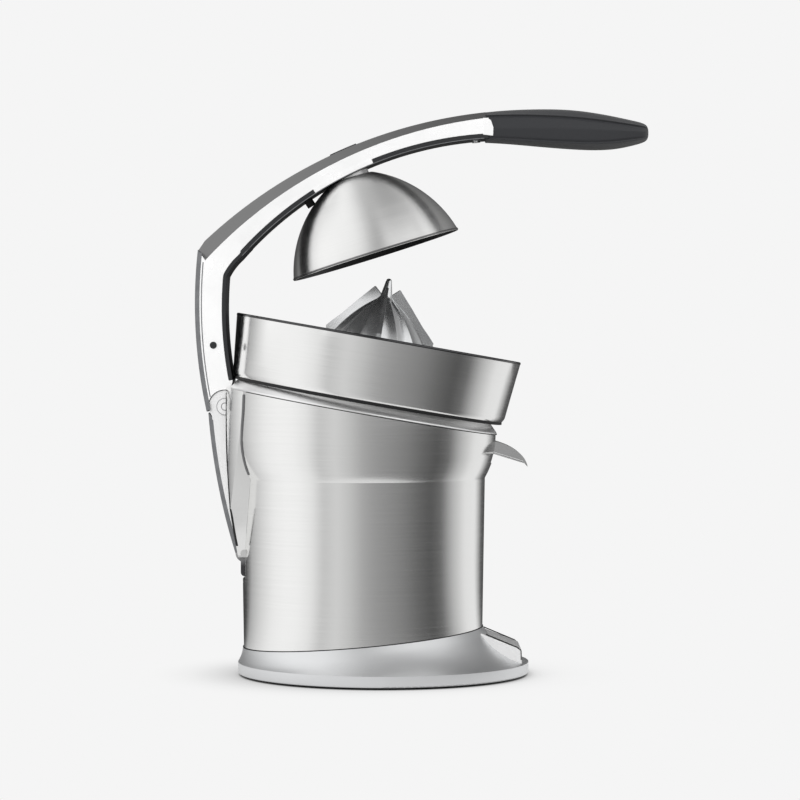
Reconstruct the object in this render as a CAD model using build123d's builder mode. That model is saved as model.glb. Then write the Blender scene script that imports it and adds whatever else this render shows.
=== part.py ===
# Lever citrus press: a tilted bowl with a motor-driven cone, and a domed arm on a two-axis hinge.
# Millimetres. X points to the spout, Y across, Z up. The origin is on the counter, under the body's axis.
import os
from math import acos, atan2, cos, degrees, hypot, pi, radians, sin, sqrt, tan

from build123d import *

os.makedirs("parts", exist_ok=True)

# Clearances
running_gap = 0.05          # shaft in a bush, all round
slip_gap = 0.3              # pieces that pass each other
seat_gap = 0.2              # pieces that drop into each other

# Base
base_x = 14.8               # centre of the foot, ahead of the body's axis
base_radius = 106.0
lip_bottom = 1.5
lip_top = 9.5
foot_height = 4.0
foot_width = 6.0
foot_inset = 4.5
plate_thickness = 2.0
plate_rim = 2.2             # wall between the bottom plate and the foot ring
plate_ledge = 10.0          # width of the ledge that the bottom plate rests against
plate_screws = 4
plate_screw_radius = 2.0
plate_head_radius = 3.6
plate_head_depth = 1.2
plate_screw_bite = 5.0
seat_z = 27.5               # height of the body seam on the axis
seat_tilt = 5.0             # the body seam rises to the front
seat_step = 1.0             # the base stands proud of the shell at the seam
flare_sag_front = 2.9       # hollow of the flare's outline
flare_sag_rear = 0.5
flare_steps = 3
spigot_height = 5.0
spigot_wall = 4.0
ramp_width = 56.0
ramp_top_z = 32.0
ramp_nose_z = 20.5
ramp_setback = 5.8          # from the base's front edge to the ramp's nose
ramp_round = 3.0

# Body shell
shell_low_radius = 87.0
shell_low_z = 20.0
shell_high_radius = 89.0
flare_start_z = 143.5
flare_mid_radius = 95.2
flare_mid_z = 158.5
shell_top_radius = 97.5
flare_end_z = 173.0
shell_wall = 1.5

# Deck frame: the collar, bowl, cone and drive share one leaning axis
deck_tilt = 10.0
deck_x = 2.2
deck_z = 191.7
collar_height = 7.2
collar_bevel = 6.0
collar_bevel_height = 4.8
collar_bore = 86.0
deck_radius = 93.0
deck_thickness = 5.0
tower_radius = 14.0
tower_height = 30.0
tower_skirt = 3.0           # thickness of the pad that the gearbox hangs from

# Bowl and strainer
bowl_rim_radius = 105.0
bowl_flare = 5.0            # how much wider the rim is than the floor
bowl_height = 47.2
bowl_wall = 2.0
bowl_floor = 2.5
bowl_foot_round = 7.0
rim_round = 0.9
chimney_gap = 1.0
chimney_wall = 2.5
chimney_height = 26.0
outlet_x = 72.0
outlet_length = 16.0
outlet_width = 24.0
outlet_drop = 13.4
outlet_wall = 1.5
strainer_gap = 8.0          # from the basket to the bowl's outline at the floor
strainer_wall = 1.5
strainer_height = 20.0
strainer_floor_lift = 12.0
strainer_slots = 36
strainer_slot_width = 2.2

# Cone, in heights above the bowl's rim
cone_foot = -28.0
cone_radius = 46.0
cone_flange = 2.5
cone_tip = 44.0
spike_base = 31.0
spike_base_radius = 4.4
spike_tip_radius = 2.2
crown_height = 28.6
crown_radius = 6.0
cone_mid_height = 11.0
cone_mid_radius = 25.6
cone_low_height = -22.0
cone_low_radius = 44.0
fin_count = 3
fin_turn = -90.0            # one fin points at the near side
fin_thickness = 3.2
fin_peak = 37.0
fin_peak_radius = 10.6
fin_notch_depth = 7.0
fin_low_height = 3.0
fin_low_radius = 45.4
ridges_between = 4
ridge_rise = 1.6
ridge_width = 2.4
cone_bore_gap = 1.5
cone_bore_height = 14.0     # room above the chimney inside the cone

# Drive
shaft_radius = 5.0
hex_flats = 8.0
hex_length = 20.0
bush_wall = 2.0
bush_length = 8.0
seal_height = 3.0
gear_distance = 40.0
fast_module = 1.0
fast_pinion_teeth = 16
fast_wheel_teeth = 64
slow_module = 1.25
slow_pinion_teeth = 16
slow_wheel_teeth = 48
backlash = 0.25
pressure_angle = 20.0
tooth_dedendum = 1.25       # depth of a tooth below the pitch circle, in modules
mesh_angle = 90.0           # direction from the cone's axis to the idler
slow_face = 8.0
fast_face = 6.0
gear_layer_gap = 2.0
gearbox_wall = 4.0
gearbox_screw_radius = 1.25
screw_bite = 8.0
gearbox_room = 2.5          # free space around the gears
cover_thickness = 3.0
axle_radius = 3.0
motor_radius = 40.0
motor_length = 65.0
motor_wall = 2.0
stator_wall = 9.0
stator_length = 36.0
air_gap = 0.6
rotor_shaft_radius = 4.0

# Lever geometry: link_foot is the hidden lower hinge, knuckle the visible upper one
foot_x = -85.4
foot_z = 89.5
knuckle_x = -99.6
knuckle_z = 195.6
link_width = 36.0
link_foot_radius = 6.8
knuckle_radius = 11.7
knuckle_gap = 0.6
link_back_x = 348.8         # centre and radius of the link's long back curve
link_back_z = 226.8
link_back_radius = 462.0
strip_thickness = 2.5
link_back_top = 191.0
link_back_bottom = 84.0
strip_bottom = 87.0
fork_slot = 22.4
hinge_pin_radius = 2.8
pivot_pin_radius = 4.0
pin_stub_radius = 2.4
pin_stub_rise = 0.6
washer_radius = 6.1
washer_thickness = 1.2
tail_length = 14.0
tail_width = 6.0
spring_wire = 0.7
spring_pitch = 2.0
spring_turns = 4

# Rear housing
hump_top = 222.0
hump_mid_z = 178.0
hump_low = 85.0
hump_top_x = -97.8
hump_mid_x = -98.6
hump_low_x = -89.8
hump_half_top = 49.0
hump_half_mid = 40.0
hump_mid_height = 150.0
hump_half_low = 22.0
hump_low_height = 88.0
hump_tip = 78.0
hump_centre_x = -60.0       # plan of the swelling: half an ellipse
hump_depth = 42.0
hump_breadth = 59.5
channel_width = 41.2
channel_wall = 3.4
channel_floor_x = -75.0
channel_bottom = 70.0

# Switch and cord gland
plunger_radius = 2.5
plunger_travel = 4.8
plunger_reach = 14.0
switch_length = 20.0
switch_width = 10.0
switch_height = 16.0
button_length = 2.0
button_radius = 1.5
bracket_thickness = 2.0
bracket_height = 26.0
gland_z = 48.0
gland_turn = 42.0           # from straight behind, round to the far side
gland_bore = 3.8
gland_radius = 6.5
gland_flange_radius = 9.0
gland_flange = 0.8
gland_depth = 8.0

# Arm
arm_width = 40.0
arm_front_width = 32.0
arm_back_x = 239.0          # centre and radius of the arm's long back curve
arm_back_z = 269.4
arm_back_radius = 360.3
arm_tail_z = 192.0
elbow_back_z = 309.0
arm_top_rear = (-110.0, 320.0)    # the top curve passes through these two points
arm_top_front = (91.0, 409.0)
arm_top_radius = 351.8
bevel_rear = (-110.0, 305.3)      # and so does the bevel's lower edge
bevel_front = (91.0, 404.6)
bevel_radius = 329.2
arm_inner_rear = (-88.3, 302.8)   # and the under curve
arm_inner_front = (91.0, 389.6)
arm_inner_radius = 256.9
arm_front_x = 177.7         # centre and radius of the upright's front curve
arm_front_z = 266.9
arm_front_radius = 276.8
arm_front_low = 214.0
arm_front_high = 290.0
elbow_inner_x = -88.3
elbow_inner_mid = (-93.7, 297.0)
elbow_cut = (-113.9, 301.5)  # lower end of the slanted cut that ends the top cover
elbow_corner = 4.4          # cut across the elbow's outer corner
grip_joint_x = 91.0
under_cover_thickness = 3.6
bevel_slope = 0.85          # how far the bevel runs in for each millimetre of its height
elbow_overshoot = 5.0       # turn by which the cover's stations pass the elbow
joint_overshoot = 0.3       # and stop short of the grip
cover_steps = 4
cover_sink = 2.0            # how far the cover's stations overshoot its outline before it is trimmed

# Grip
grip_width = 34.0
grip_top_mid = (140.0, 412.2)
grip_top_end = (198.0, 404.4)
grip_nose = (208.4, 394.0)
grip_low_end = (203.7, 387.6)
grip_low_mid = (166.0, 381.6)
grip_low_start = (86.0, 388.8)
grip_top_start = (84.0, 408.6)
grip_facet = 5.5
grip_facet_angle = 40.0
grip_round = 1.2
tenon_width = 16.0
tenon_low = 394.0
tenon_high = 402.0
tenon_start_x = 84.0
tenon_end_x = 160.0

# Dome
dome_x = 9.5
dome_z = 305.5
dome_tilt = -17.3
dome_radius = 62.8
dome_height = 59.0
dome_bulge_radius = 87.0
dome_bulge_drop = 19.4
dome_wall = 1.5
liner_wall = 1.2
liner_lip = 3.0
hub_radius = 13.0
hub_rise = 22.0

# Small arm pieces
plug_x = -108.0
plug_z = 240.0
plug_radius = 2.5
plug_rise = 0.6
cap_rear_x = -24.0
cap_front_x = -5.0
cap_width = 9.0
cap_rise = 1.2
screw_x = 82.5
screw_radius = 3.0
bumper_x = -40.0
bumper_radius = 3.2
bumper_length = 5.0

# Spout
spout_width = 28.0
spout_wall = 1.2
spout_hinge_x = 85.0
spout_hinge_z = 166.5
spout_inner_x = 70.0
spout_slope = 17.0
spout_depth = 9.0
spout_corner = 2.5
spout_floor_x = 118.0
spout_floor_z = 154.0
spout_tip = (119.7, 151.8)
spout_brow = (116.6, 158.7)
spout_shoulder = (107.5, 166.0)
spout_root = (96.0, 170.3)
trunnion_radius = 2.0
trunnion_length = 3.6
ear_radius = 4.6
ear_thickness = 3.6
window_gap = 1.0


def leaning(x, z, tilt):
    """A plane at (x, z) whose normal leans forward by tilt degrees."""
    lean = radians(tilt)
    return Plane(origin=(x, 0, z), x_dir=(cos(lean), 0, -sin(lean)), z_dir=(sin(lean), 0, cos(lean)))


def meridian(plane, turn=0):
    """The plane through a leaning plane's axis, turned about it: x is the radius, y the height."""
    radial = plane.x_dir * cos(radians(turn)) + plane.y_dir * sin(radians(turn))
    return Plane(origin=plane.origin, x_dir=radial, z_dir=radial.cross(plane.z_dir))


def on_circle(cx, cz, radius, z, side):
    """The point of a circle at a height z, on its rear (-1) or front (+1) side."""
    return (cx + side * sqrt(radius**2 - (z - cz) ** 2), z)


def above(cx, cz, radius, x):
    """The point of a circle above its centre at a given x."""
    return (x, cz + sqrt(radius**2 - (x - cx) ** 2))


def arc_centre(rear, front, radius):
    """Centre, below two points, of the circle of that radius that passes through them."""
    span_x = front[0] - rear[0]
    span_z = front[1] - rear[1]
    drop = sqrt((radius / hypot(span_x, span_z)) ** 2 - 0.25)
    return ((rear[0] + front[0]) / 2 + drop * span_z, (rear[1] + front[1]) / 2 - drop * span_x)


def finish_part(builder, name):
    """Label a finished piece and write its file."""
    builder.part.label = name
    export_step(builder.part, f"parts/{name}.step")


def gear_points(module, teeth, tooth_angle):
    """Outline of an involute spur gear with a tooth centred at tooth_angle degrees."""
    pitch_radius = module * teeth / 2
    tip_radius = pitch_radius + module
    root_radius = pitch_radius - tooth_dedendum * module
    base_circle = pitch_radius * cos(radians(pressure_angle))

    def half_angle(radius):
        roll = acos(min(1.0, base_circle / radius))
        pitch_roll = acos(base_circle / pitch_radius)
        half_pitch = (pi * module / 2 - backlash) / (2 * pitch_radius)
        return half_pitch + (tan(pitch_roll) - pitch_roll) - (tan(roll) - roll)

    flank = [max(base_circle, root_radius), pitch_radius, (pitch_radius + tip_radius) / 2, tip_radius]
    points = []
    for tooth in range(teeth):
        centre = radians(tooth_angle) + 2 * pi * tooth / teeth
        tooth_points = [(root_radius, -half_angle(flank[0]))]
        tooth_points += [(radius, -half_angle(radius)) for radius in flank if radius > root_radius]
        tooth_points += [(radius, -angle) for radius, angle in reversed(tooth_points)]
        points += [(r * cos(centre + a), r * sin(centre + a)) for r, a in tooth_points]
    return points


deck = leaning(deck_x, deck_z, deck_tilt)
seat = leaning(0, seat_z, -seat_tilt)
dome_frame = leaning(dome_x, dome_z, dome_tilt)
deck_axis = Axis(deck.origin, deck.z_dir)
dome_axis = Axis(dome_frame.origin, dome_frame.z_dir)
bowl_rim = collar_height + bowl_height
knuckle = (knuckle_x, knuckle_z)
link_foot = (foot_x, foot_z)

# Foot ring: one rubber ring let into the base, the face that the press stands on
foot_outer = base_radius - foot_inset
with BuildPart() as foot_ring:
    with BuildSketch(Plane(origin=(base_x, 0, 0))):
        Circle(foot_outer)
        Circle(foot_outer - foot_width, mode=Mode.SUBTRACT)
    extrude(amount=foot_height)
finish_part(foot_ring, "foot_ring")

# Base casting: a lip, a hollow flare that leans up to the body seam, and a spigot inside the shell
plate_radius = foot_outer - foot_width - plate_rim
cavity_radius = shell_low_radius - shell_wall - seat_gap - spigot_wall
seat_radius = shell_low_radius + seat_step


def flare_section(share):
    """Plane and radius of one section of the flare, from the body seam (0) to the lip (1)."""
    rise = seat_radius * sin(radians(seat_tilt))
    reach = seat_radius * cos(radians(seat_tilt))
    front_sag = 4 * flare_sag_front * share * (1 - share)
    rear_sag = 4 * flare_sag_rear * share * (1 - share)
    front_x = reach + share * (base_x + base_radius - reach) - front_sag
    front_z = seat_z + rise + share * (lip_top - seat_z - rise) - front_sag
    rear_x = -reach + share * (base_x - base_radius + reach) + rear_sag
    rear_z = seat_z - rise + share * (lip_top - seat_z + rise) - rear_sag
    climb = degrees(atan2(front_z - rear_z, front_x - rear_x))
    middle = leaning((front_x + rear_x) / 2, (front_z + rear_z) / 2, -climb)
    return middle, hypot(front_x - rear_x, front_z - rear_z) / 2


with BuildPart() as base_casting:
    for step in range(flare_steps + 1):
        section_plane, section_radius = flare_section(step / flare_steps)
        with BuildSketch(section_plane):
            Circle(section_radius)
    loft()
    with BuildSketch(Plane(origin=(base_x, 0, lip_bottom))):
        Circle(base_radius)
    extrude(amount=lip_top - lip_bottom)
    fillet(base_casting.edges().group_by(Axis.Z)[0], rim_round)
    with BuildSketch(Plane.XY.offset(lip_top)):
        Circle(cavity_radius + spigot_wall)
    extrude(amount=seat_z + seat_radius - lip_top)
    split(bisect_by=seat.offset(spigot_height), keep=Keep.BOTTOM)
    with BuildSketch(Plane.XY.offset(lip_top)):
        Circle(cavity_radius)
    extrude(amount=seat_z + seat_radius, mode=Mode.SUBTRACT)
    with BuildSketch(Plane(origin=(base_x, 0, 0))):
        Circle(plate_radius - plate_ledge)
    extrude(amount=lip_top, mode=Mode.SUBTRACT)
    with BuildSketch(Plane(origin=(base_x, 0, 0))):
        Circle(plate_radius)
    extrude(amount=lip_bottom + plate_thickness, mode=Mode.SUBTRACT)
    with BuildSketch(Plane(origin=(base_x, 0, 0))):
        Circle(foot_outer)
        Circle(foot_outer - foot_width, mode=Mode.SUBTRACT)
    extrude(amount=foot_height, mode=Mode.SUBTRACT)
    with BuildSketch(Plane(origin=(base_x, 0, lip_bottom + plate_thickness))):
        with PolarLocations(plate_radius - plate_ledge / 2, plate_screws, 45):
            Circle(plate_screw_radius)
    extrude(amount=plate_screw_bite, mode=Mode.SUBTRACT)
finish_part(base_casting, "base_casting")

# Bottom plate: closes the base inside the foot ring, with four screw heads let into it
with BuildPart() as base_plate:
    with BuildSketch(Plane(origin=(base_x, 0, lip_bottom))):
        Circle(plate_radius - seat_gap)
    extrude(amount=plate_thickness)
    with Locations(Plane(origin=(base_x, 0, lip_bottom), z_dir=(0, 0, -1))):
        with PolarLocations(plate_radius - plate_ledge / 2, plate_screws, 45):
            CounterBoreHole(plate_screw_radius, plate_head_radius, plate_head_depth, plate_thickness)
finish_part(base_plate, "base_plate")

# Screws of the bottom plate, one node each
for number, spot in enumerate(PolarLocations(plate_radius - plate_ledge / 2, plate_screws, 45)):
    place = Plane(origin=(base_x + spot.position.X, spot.position.Y, lip_bottom + plate_head_depth))
    with BuildPart() as plate_screw:
        with BuildSketch(place):
            Circle(plate_head_radius - running_gap)
        extrude(amount=-plate_head_depth / 2)
        with BuildSketch(place):
            Circle(plate_screw_radius)
        extrude(amount=plate_thickness - plate_head_depth + plate_screw_bite)
    finish_part(plate_screw, f"plate_screw_{number + 1}")

# Shell envelope: the solid inside the shell's outer face, used to fit other pieces to it


def shell_outline(inset):
    """Half outline of the body, inset from its outer face."""
    low = (shell_low_radius - inset, shell_low_z)
    bend = (shell_high_radius - inset, flare_start_z)
    lip = (shell_top_radius - inset, flare_end_z)
    with BuildSketch() as outline:
        with BuildLine():
            Polyline((0, lip_top), (low[0], lip_top), low, bend)
            ThreePointArc(bend, (flare_mid_radius - inset, flare_mid_z), lip)
            Polyline(lip, (lip[0], hump_top), (0, hump_top), (0, lip_top))
        make_face()
    return outline.sketch


shell_outside = shell_outline(0)
shell_inside = shell_outline(shell_wall)
with BuildPart() as shell_envelope:
    with BuildSketch(Plane.XZ):
        add(shell_outside)
    revolve(axis=Axis.Z)
    split(bisect_by=seat, keep=Keep.TOP)
    split(bisect_by=deck, keep=Keep.BOTTOM)

# Body shell: brushed sheet, open at both ends, slotted for the hinge channel and the spout
channel_outer = channel_width + 2 * channel_wall
gland_inward = Vector(cos(radians(gland_turn)), -sin(radians(gland_turn)), 0)
gland_plane = Plane(Vector(0, 0, gland_z) - gland_inward * shell_high_radius, (0, 0, 1), gland_inward)
with BuildPart() as body_shell:
    add(shell_envelope.part)
    with BuildSketch(Plane.XZ):
        add(shell_inside)
    revolve(axis=Axis.Z, mode=Mode.SUBTRACT)
    with BuildSketch(Plane.XY.offset(channel_bottom - channel_wall - seat_gap)):
        with Locations((-shell_top_radius, 0)):
            Rectangle(shell_top_radius, channel_outer + 2 * seat_gap)
    extrude(amount=hump_top, mode=Mode.SUBTRACT)
    with BuildSketch(Plane.XY.offset(spout_floor_z)):
        with Locations((shell_top_radius, 0)):
            Rectangle(shell_top_radius, spout_width + 2 * window_gap)
    extrude(amount=hump_top, mode=Mode.SUBTRACT)
    with BuildSketch(gland_plane):
        Circle(gland_radius)
    extrude(amount=gland_depth, mode=Mode.SUBTRACT)
finish_part(body_shell, "body_shell")

# Front ramp: a wedge on the flare, under the spout
ramp_nose_x = base_x + base_radius - ramp_setback
with BuildPart() as front_ramp:
    with BuildSketch(Plane.XZ):
        with BuildLine():
            back_x = cavity_radius + spigot_wall
            corner = (ramp_nose_x, ramp_nose_z)
            nose = FilletPolyline((back_x, ramp_top_z), corner, (ramp_nose_x, lip_top), radius=ramp_round)
            Polyline(nose @ 1, (back_x, lip_top), nose @ 0)
        make_face()
    extrude(amount=ramp_width / 2, both=True)
    fillet(front_ramp.edges().filter_by(GeomType.CIRCLE), rim_round)
    add(base_casting.part, mode=Mode.SUBTRACT)
    add(shell_envelope.part, mode=Mode.SUBTRACT)
finish_part(front_ramp, "front_ramp")

# Rear housing: a swelling on the back of the shell with a channel between two cheeks for the link


def hump_side(front_x, bottom_z):
    """Side outline from an inner x out to the housing's curved back."""
    back_low = (hump_low_x, hump_low)
    back_top = (hump_top_x, hump_top)
    with BuildSketch() as outline:
        with BuildLine():
            ThreePointArc(back_low, (hump_mid_x, hump_mid_z), back_top)
            foot_corner = (-shell_low_radius, bottom_z)
            Polyline(back_top, (front_x, hump_top), (front_x, bottom_z), foot_corner, back_low)
        make_face()
    return outline.sketch


hump_block = hump_side(-shell_low_radius / 2, hump_tip)
channel_block = hump_side(channel_floor_x + channel_wall, channel_bottom - channel_wall)
with BuildPart() as channel_core:
    with BuildSketch(Plane.XZ):
        add(channel_block)
    extrude(amount=channel_outer / 2, both=True)
    add(shell_envelope.part, mode=Mode.INTERSECT)
with BuildPart() as rear_housing:
    with BuildSketch(Plane.XZ):
        add(hump_block)
    extrude(amount=shell_top_radius, both=True)
    with BuildSketch(Plane.YZ):
        with BuildLine():
            near_edge = ThreePointArc(
                (hump_half_low, hump_low_height), (hump_half_mid, hump_mid_height), (hump_half_top, hump_top)
            )
            mirror(near_edge, about=Plane.YZ)
            Line((hump_half_top, hump_top), (-hump_half_top, hump_top))
            ThreePointArc((hump_half_low, hump_low_height), (0, hump_tip), (-hump_half_low, hump_low_height))
        make_face()
    extrude(amount=-2 * shell_top_radius, mode=Mode.INTERSECT)
    with BuildSketch(Plane.XY):
        with Locations((hump_centre_x, 0)):
            Ellipse(hump_depth, hump_breadth)
    extrude(amount=2 * hump_top, mode=Mode.INTERSECT)
    add(shell_envelope.part, mode=Mode.SUBTRACT)
    add(channel_core.part)
    split(bisect_by=deck, keep=Keep.BOTTOM)
    with BuildSketch(Plane.XY.offset(channel_bottom)):
        with Locations((channel_floor_x - shell_top_radius / 2, 0)):
            Rectangle(shell_top_radius, channel_width)
    extrude(amount=hump_top, mode=Mode.SUBTRACT)
    with BuildSketch(Plane.XZ):
        with Locations(link_foot):
            Circle(hinge_pin_radius)
    extrude(amount=channel_outer, both=True, mode=Mode.SUBTRACT)
    with BuildSketch(Plane.YZ.offset(channel_floor_x)):
        with Locations((0, foot_z - tail_length)):
            Circle(plunger_radius + running_gap)
    extrude(amount=channel_wall, both=True, mode=Mode.SUBTRACT)
finish_part(rear_housing, "rear_housing")

# Link hinge pin: fixed in the cheeks of the housing
with BuildPart() as hinge_pin:
    with BuildSketch(Plane.XZ):
        with Locations(link_foot):
            Circle(hinge_pin_radius)
    extrude(amount=hump_half_low, both=True)
finish_part(hinge_pin, "hinge_pin")

# Top collar: a bevelled ring on the sloping seam, notched behind for the arm
with BuildPart() as top_collar:
    with BuildSketch(Plane.XY.offset(flare_end_z - collar_height)):
        Circle(shell_top_radius)
    extrude(amount=2 * hump_half_top)
    split(bisect_by=deck, keep=Keep.TOP)
    split(bisect_by=deck.offset(collar_height), keep=Keep.BOTTOM)
    top_face = top_collar.faces().sort_by(deck_axis)[-1]
    chamfer(top_face.edges(), collar_bevel_height, collar_bevel, reference=top_face)
    with BuildSketch(deck):
        Circle(collar_bore)
    extrude(amount=collar_height, mode=Mode.SUBTRACT)
    with BuildSketch(Plane.XY):
        with Locations((channel_floor_x - shell_top_radius / 2, 0)):
            Rectangle(shell_top_radius, channel_width)
    extrude(amount=2 * hump_top, mode=Mode.SUBTRACT)
finish_part(top_collar, "top_collar")

# Deck: closes the body's top and carries the drive, with a tower for the shaft and ears for the spout
hinge_local = deck.to_local_coords(Vector(spout_hinge_x, 0, spout_hinge_z))
ear_offset = spout_width / 2 + slip_gap + ear_thickness / 2
channel_edge = deck.to_local_coords(Vector(channel_floor_x + channel_wall, 0, deck_z)).X + deck_thickness / 2
slow_wheel_radius = slow_module * (slow_wheel_teeth + 2) / 2
fast_wheel_radius = fast_module * (fast_wheel_teeth + 2) / 2
gearbox_radius = fast_wheel_radius + gearbox_room + gearbox_wall
pad_bottom = -deck_thickness - tower_skirt
screw_reach = gearbox_radius - gearbox_wall / 2
gearbox_spots = [(side * screw_reach, y) for side in (-1, 1) for y in (0, gear_distance)]
shaft_bore = shaft_radius + bush_wall
with BuildPart() as deck_plate:
    with BuildSketch(deck):
        Circle(deck_radius)
        with Locations((outlet_x - outlet_length / 2 - slip_gap, 0)):
            Rectangle(
                deck_radius, spout_width + 2 * slip_gap, align=(Align.MIN, Align.CENTER), mode=Mode.SUBTRACT
            )
        with Locations((channel_edge, 0)):
            Rectangle(
                deck_radius, channel_outer + 2 * slip_gap, align=(Align.MAX, Align.CENTER), mode=Mode.SUBTRACT
            )
    extrude(amount=-deck_thickness)
    with BuildSketch(deck.offset(-deck_thickness)):
        with Locations((0, gear_distance / 2)):
            SlotCenterToCenter(gear_distance, 2 * gearbox_radius, rotation=90)
    extrude(amount=-tower_skirt)
    with BuildSketch(deck):
        Circle(tower_radius)
    extrude(amount=tower_height)
    with BuildSketch(deck.offset(tower_height)):
        Circle(shaft_bore)
    extrude(amount=-tower_height + pad_bottom, mode=Mode.SUBTRACT)
    for side in (-1, 1):
        with BuildSketch(meridian(deck).offset(side * ear_offset)):
            with Locations((hinge_local.X, hinge_local.Z)):
                Circle(ear_radius)
            with Locations((hinge_local.X, hinge_local.Z / 2)):
                Rectangle(2 * ear_radius, -hinge_local.Z)
            with Locations((hinge_local.X, hinge_local.Z)):
                Circle(trunnion_radius + running_gap, mode=Mode.SUBTRACT)
        extrude(amount=ear_thickness / 2, both=True)
    with BuildSketch(deck):
        with Locations(*gearbox_spots):
            Circle(gearbox_screw_radius)
    extrude(amount=pad_bottom - cover_thickness - screw_bite, mode=Mode.SUBTRACT)
finish_part(deck_plate, "deck")

# Bowl: a drafted pan on the collar, with a chimney round the tower and a square outlet over the spout
bowl_floor_radius = bowl_rim_radius - bowl_flare
bowl_slope = bowl_flare / bowl_height
chimney_bore = tower_radius + chimney_gap
with BuildPart() as bowl:
    with BuildSketch(deck.offset(collar_height)):
        Circle(bowl_floor_radius)
    extrude(amount=bowl_height, taper=-degrees(atan2(bowl_flare, bowl_height)))
    fillet(bowl.edges().sort_by(deck_axis)[0], bowl_foot_round)
    with BuildSketch(deck.offset(collar_height + bowl_floor)):
        Circle(bowl_floor_radius - bowl_wall + bowl_slope * bowl_floor)
    extrude(
        amount=bowl_height - bowl_floor,
        taper=-degrees(atan2(bowl_flare, bowl_height)),
        mode=Mode.SUBTRACT,
    )
    fillet(bowl.edges().group_by(deck_axis)[-1], rim_round)
    inner_corner = bowl.edges().filter_by(GeomType.CIRCLE).filter_by_position(
        Axis.Z, 0, deck_z + bowl_floor_radius
    ).sort_by(lambda edge: abs(deck.to_local_coords(edge.center()).Z - collar_height - bowl_floor))[0]
    fillet(inner_corner, bowl_foot_round - bowl_wall)
    with BuildSketch(deck.offset(collar_height)):
        Circle(chimney_bore + chimney_wall)
    extrude(amount=chimney_height)
    with BuildSketch(deck.offset(collar_height)):
        Circle(chimney_bore)
    extrude(amount=chimney_height, mode=Mode.SUBTRACT)
    with BuildSketch(deck.offset(collar_height + bowl_floor)):
        with Locations((outlet_x, 0)):
            Rectangle(outlet_length, outlet_width)
    extrude(amount=-outlet_drop - bowl_floor)
    with BuildSketch(deck.offset(collar_height + bowl_floor)):
        with Locations((outlet_x, 0)):
            Rectangle(outlet_length - 2 * outlet_wall, outlet_width - 2 * outlet_wall)
    extrude(amount=-outlet_drop - bowl_floor, mode=Mode.SUBTRACT)
finish_part(bowl, "bowl")

# Strainer basket: a slotted dish that stands on the bowl's floor around the chimney
strainer_bottom = collar_height + bowl_floor
strainer_bore = chimney_bore + chimney_wall + chimney_gap
strainer_radius = bowl_floor_radius - strainer_gap
slot_length = (strainer_radius - cone_radius) / 2 - 2 * strainer_slot_width
with BuildPart() as strainer:
    with BuildSketch(deck.offset(strainer_bottom)):
        Circle(strainer_radius)
        Circle(strainer_radius - strainer_wall, mode=Mode.SUBTRACT)
    extrude(amount=strainer_height)
    with BuildSketch(deck.offset(strainer_bottom + strainer_floor_lift)):
        Circle(strainer_radius)
        Circle(strainer_bore, mode=Mode.SUBTRACT)
        for ring in (0, 1):
            middle = cone_radius + strainer_slot_width * 2 + slot_length / 2
            middle += ring * (slot_length + 1.5 * strainer_slot_width)
            with PolarLocations(middle, strainer_slots):
                SlotOverall(slot_length, strainer_slot_width, mode=Mode.SUBTRACT)
    extrude(amount=strainer_wall)
finish_part(strainer, "strainer")

# Cone: an ogive with a spike, tall fins and low ridges, hollow over the chimney, with a hexagon socket
rim = deck.offset(bowl_rim)
chimney_top = collar_height + chimney_height - bowl_rim
socket_top = chimney_top + cone_bore_height + hex_length


def cone_outline(rise):
    """Half outline of the cone's body, lifted by rise outside its face."""
    flange_top = cone_foot + cone_flange
    shoulder = (cone_low_radius + rise, cone_low_height)
    crown = (crown_radius + rise, crown_height + rise)
    with BuildSketch() as outline:
        with BuildLine():
            Polyline((0, cone_foot), (cone_radius, cone_foot), (cone_radius, flange_top), shoulder)
            ThreePointArc(shoulder, (cone_mid_radius + rise, cone_mid_height + rise), crown)
            Polyline(crown, (0, crown_height + rise), (0, cone_foot))
        make_face()
    return outline.sketch


cone_body = cone_outline(0)
ridge_body = cone_outline(ridge_rise)
with BuildPart() as cone:
    with BuildSketch(meridian(rim)):
        add(cone_body)
        with BuildLine():
            spike_top = (0, cone_tip)
            spike_side = (spike_tip_radius, cone_tip - spike_tip_radius)
            spike_foot = (spike_base_radius, crown_height)
            Polyline((0, crown_height), spike_foot, (spike_base_radius, spike_base), spike_side)
            Line(spike_side, spike_top)
            Line(spike_top, (0, crown_height))
        make_face()
    revolve(axis=deck_axis)
    for turn in range(fin_count):
        with BuildSketch(meridian(rim, fin_turn + turn * 360 / fin_count)):
            with BuildLine():
                notch = (spike_tip_radius, fin_peak - fin_notch_depth)
                peak = (fin_peak_radius, fin_peak)
                hip = (fin_low_radius, fin_low_height)
                heel = (cone_low_radius, cone_low_height)
                Polyline((0, cone_low_height), (0, notch[1]), notch, peak, hip, heel, (0, cone_low_height))
            make_face()
        extrude(amount=fin_thickness / 2, both=True)
        for ridge in range(ridges_between):
            turned = fin_turn + (turn + (ridge + 1) / (ridges_between + 1)) * 360 / fin_count
            with BuildSketch(meridian(rim, turned)):
                add(ridge_body)
                with Locations((0, cone_low_height - cone_radius / 2)):
                    Rectangle(4 * cone_radius, cone_radius, mode=Mode.SUBTRACT)
            extrude(amount=ridge_width / 2, both=True)
    with BuildSketch(rim.offset(cone_foot)):
        Circle(chimney_bore + chimney_wall + cone_bore_gap)
    extrude(amount=chimney_top + cone_bore_gap - cone_foot, mode=Mode.SUBTRACT)
    with BuildSketch(rim.offset(chimney_top)):
        RegularPolygon(hex_flats / 2, 6, major_radius=False)
    extrude(amount=socket_top - chimney_top, mode=Mode.SUBTRACT)
finish_part(cone, "cone")

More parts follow.
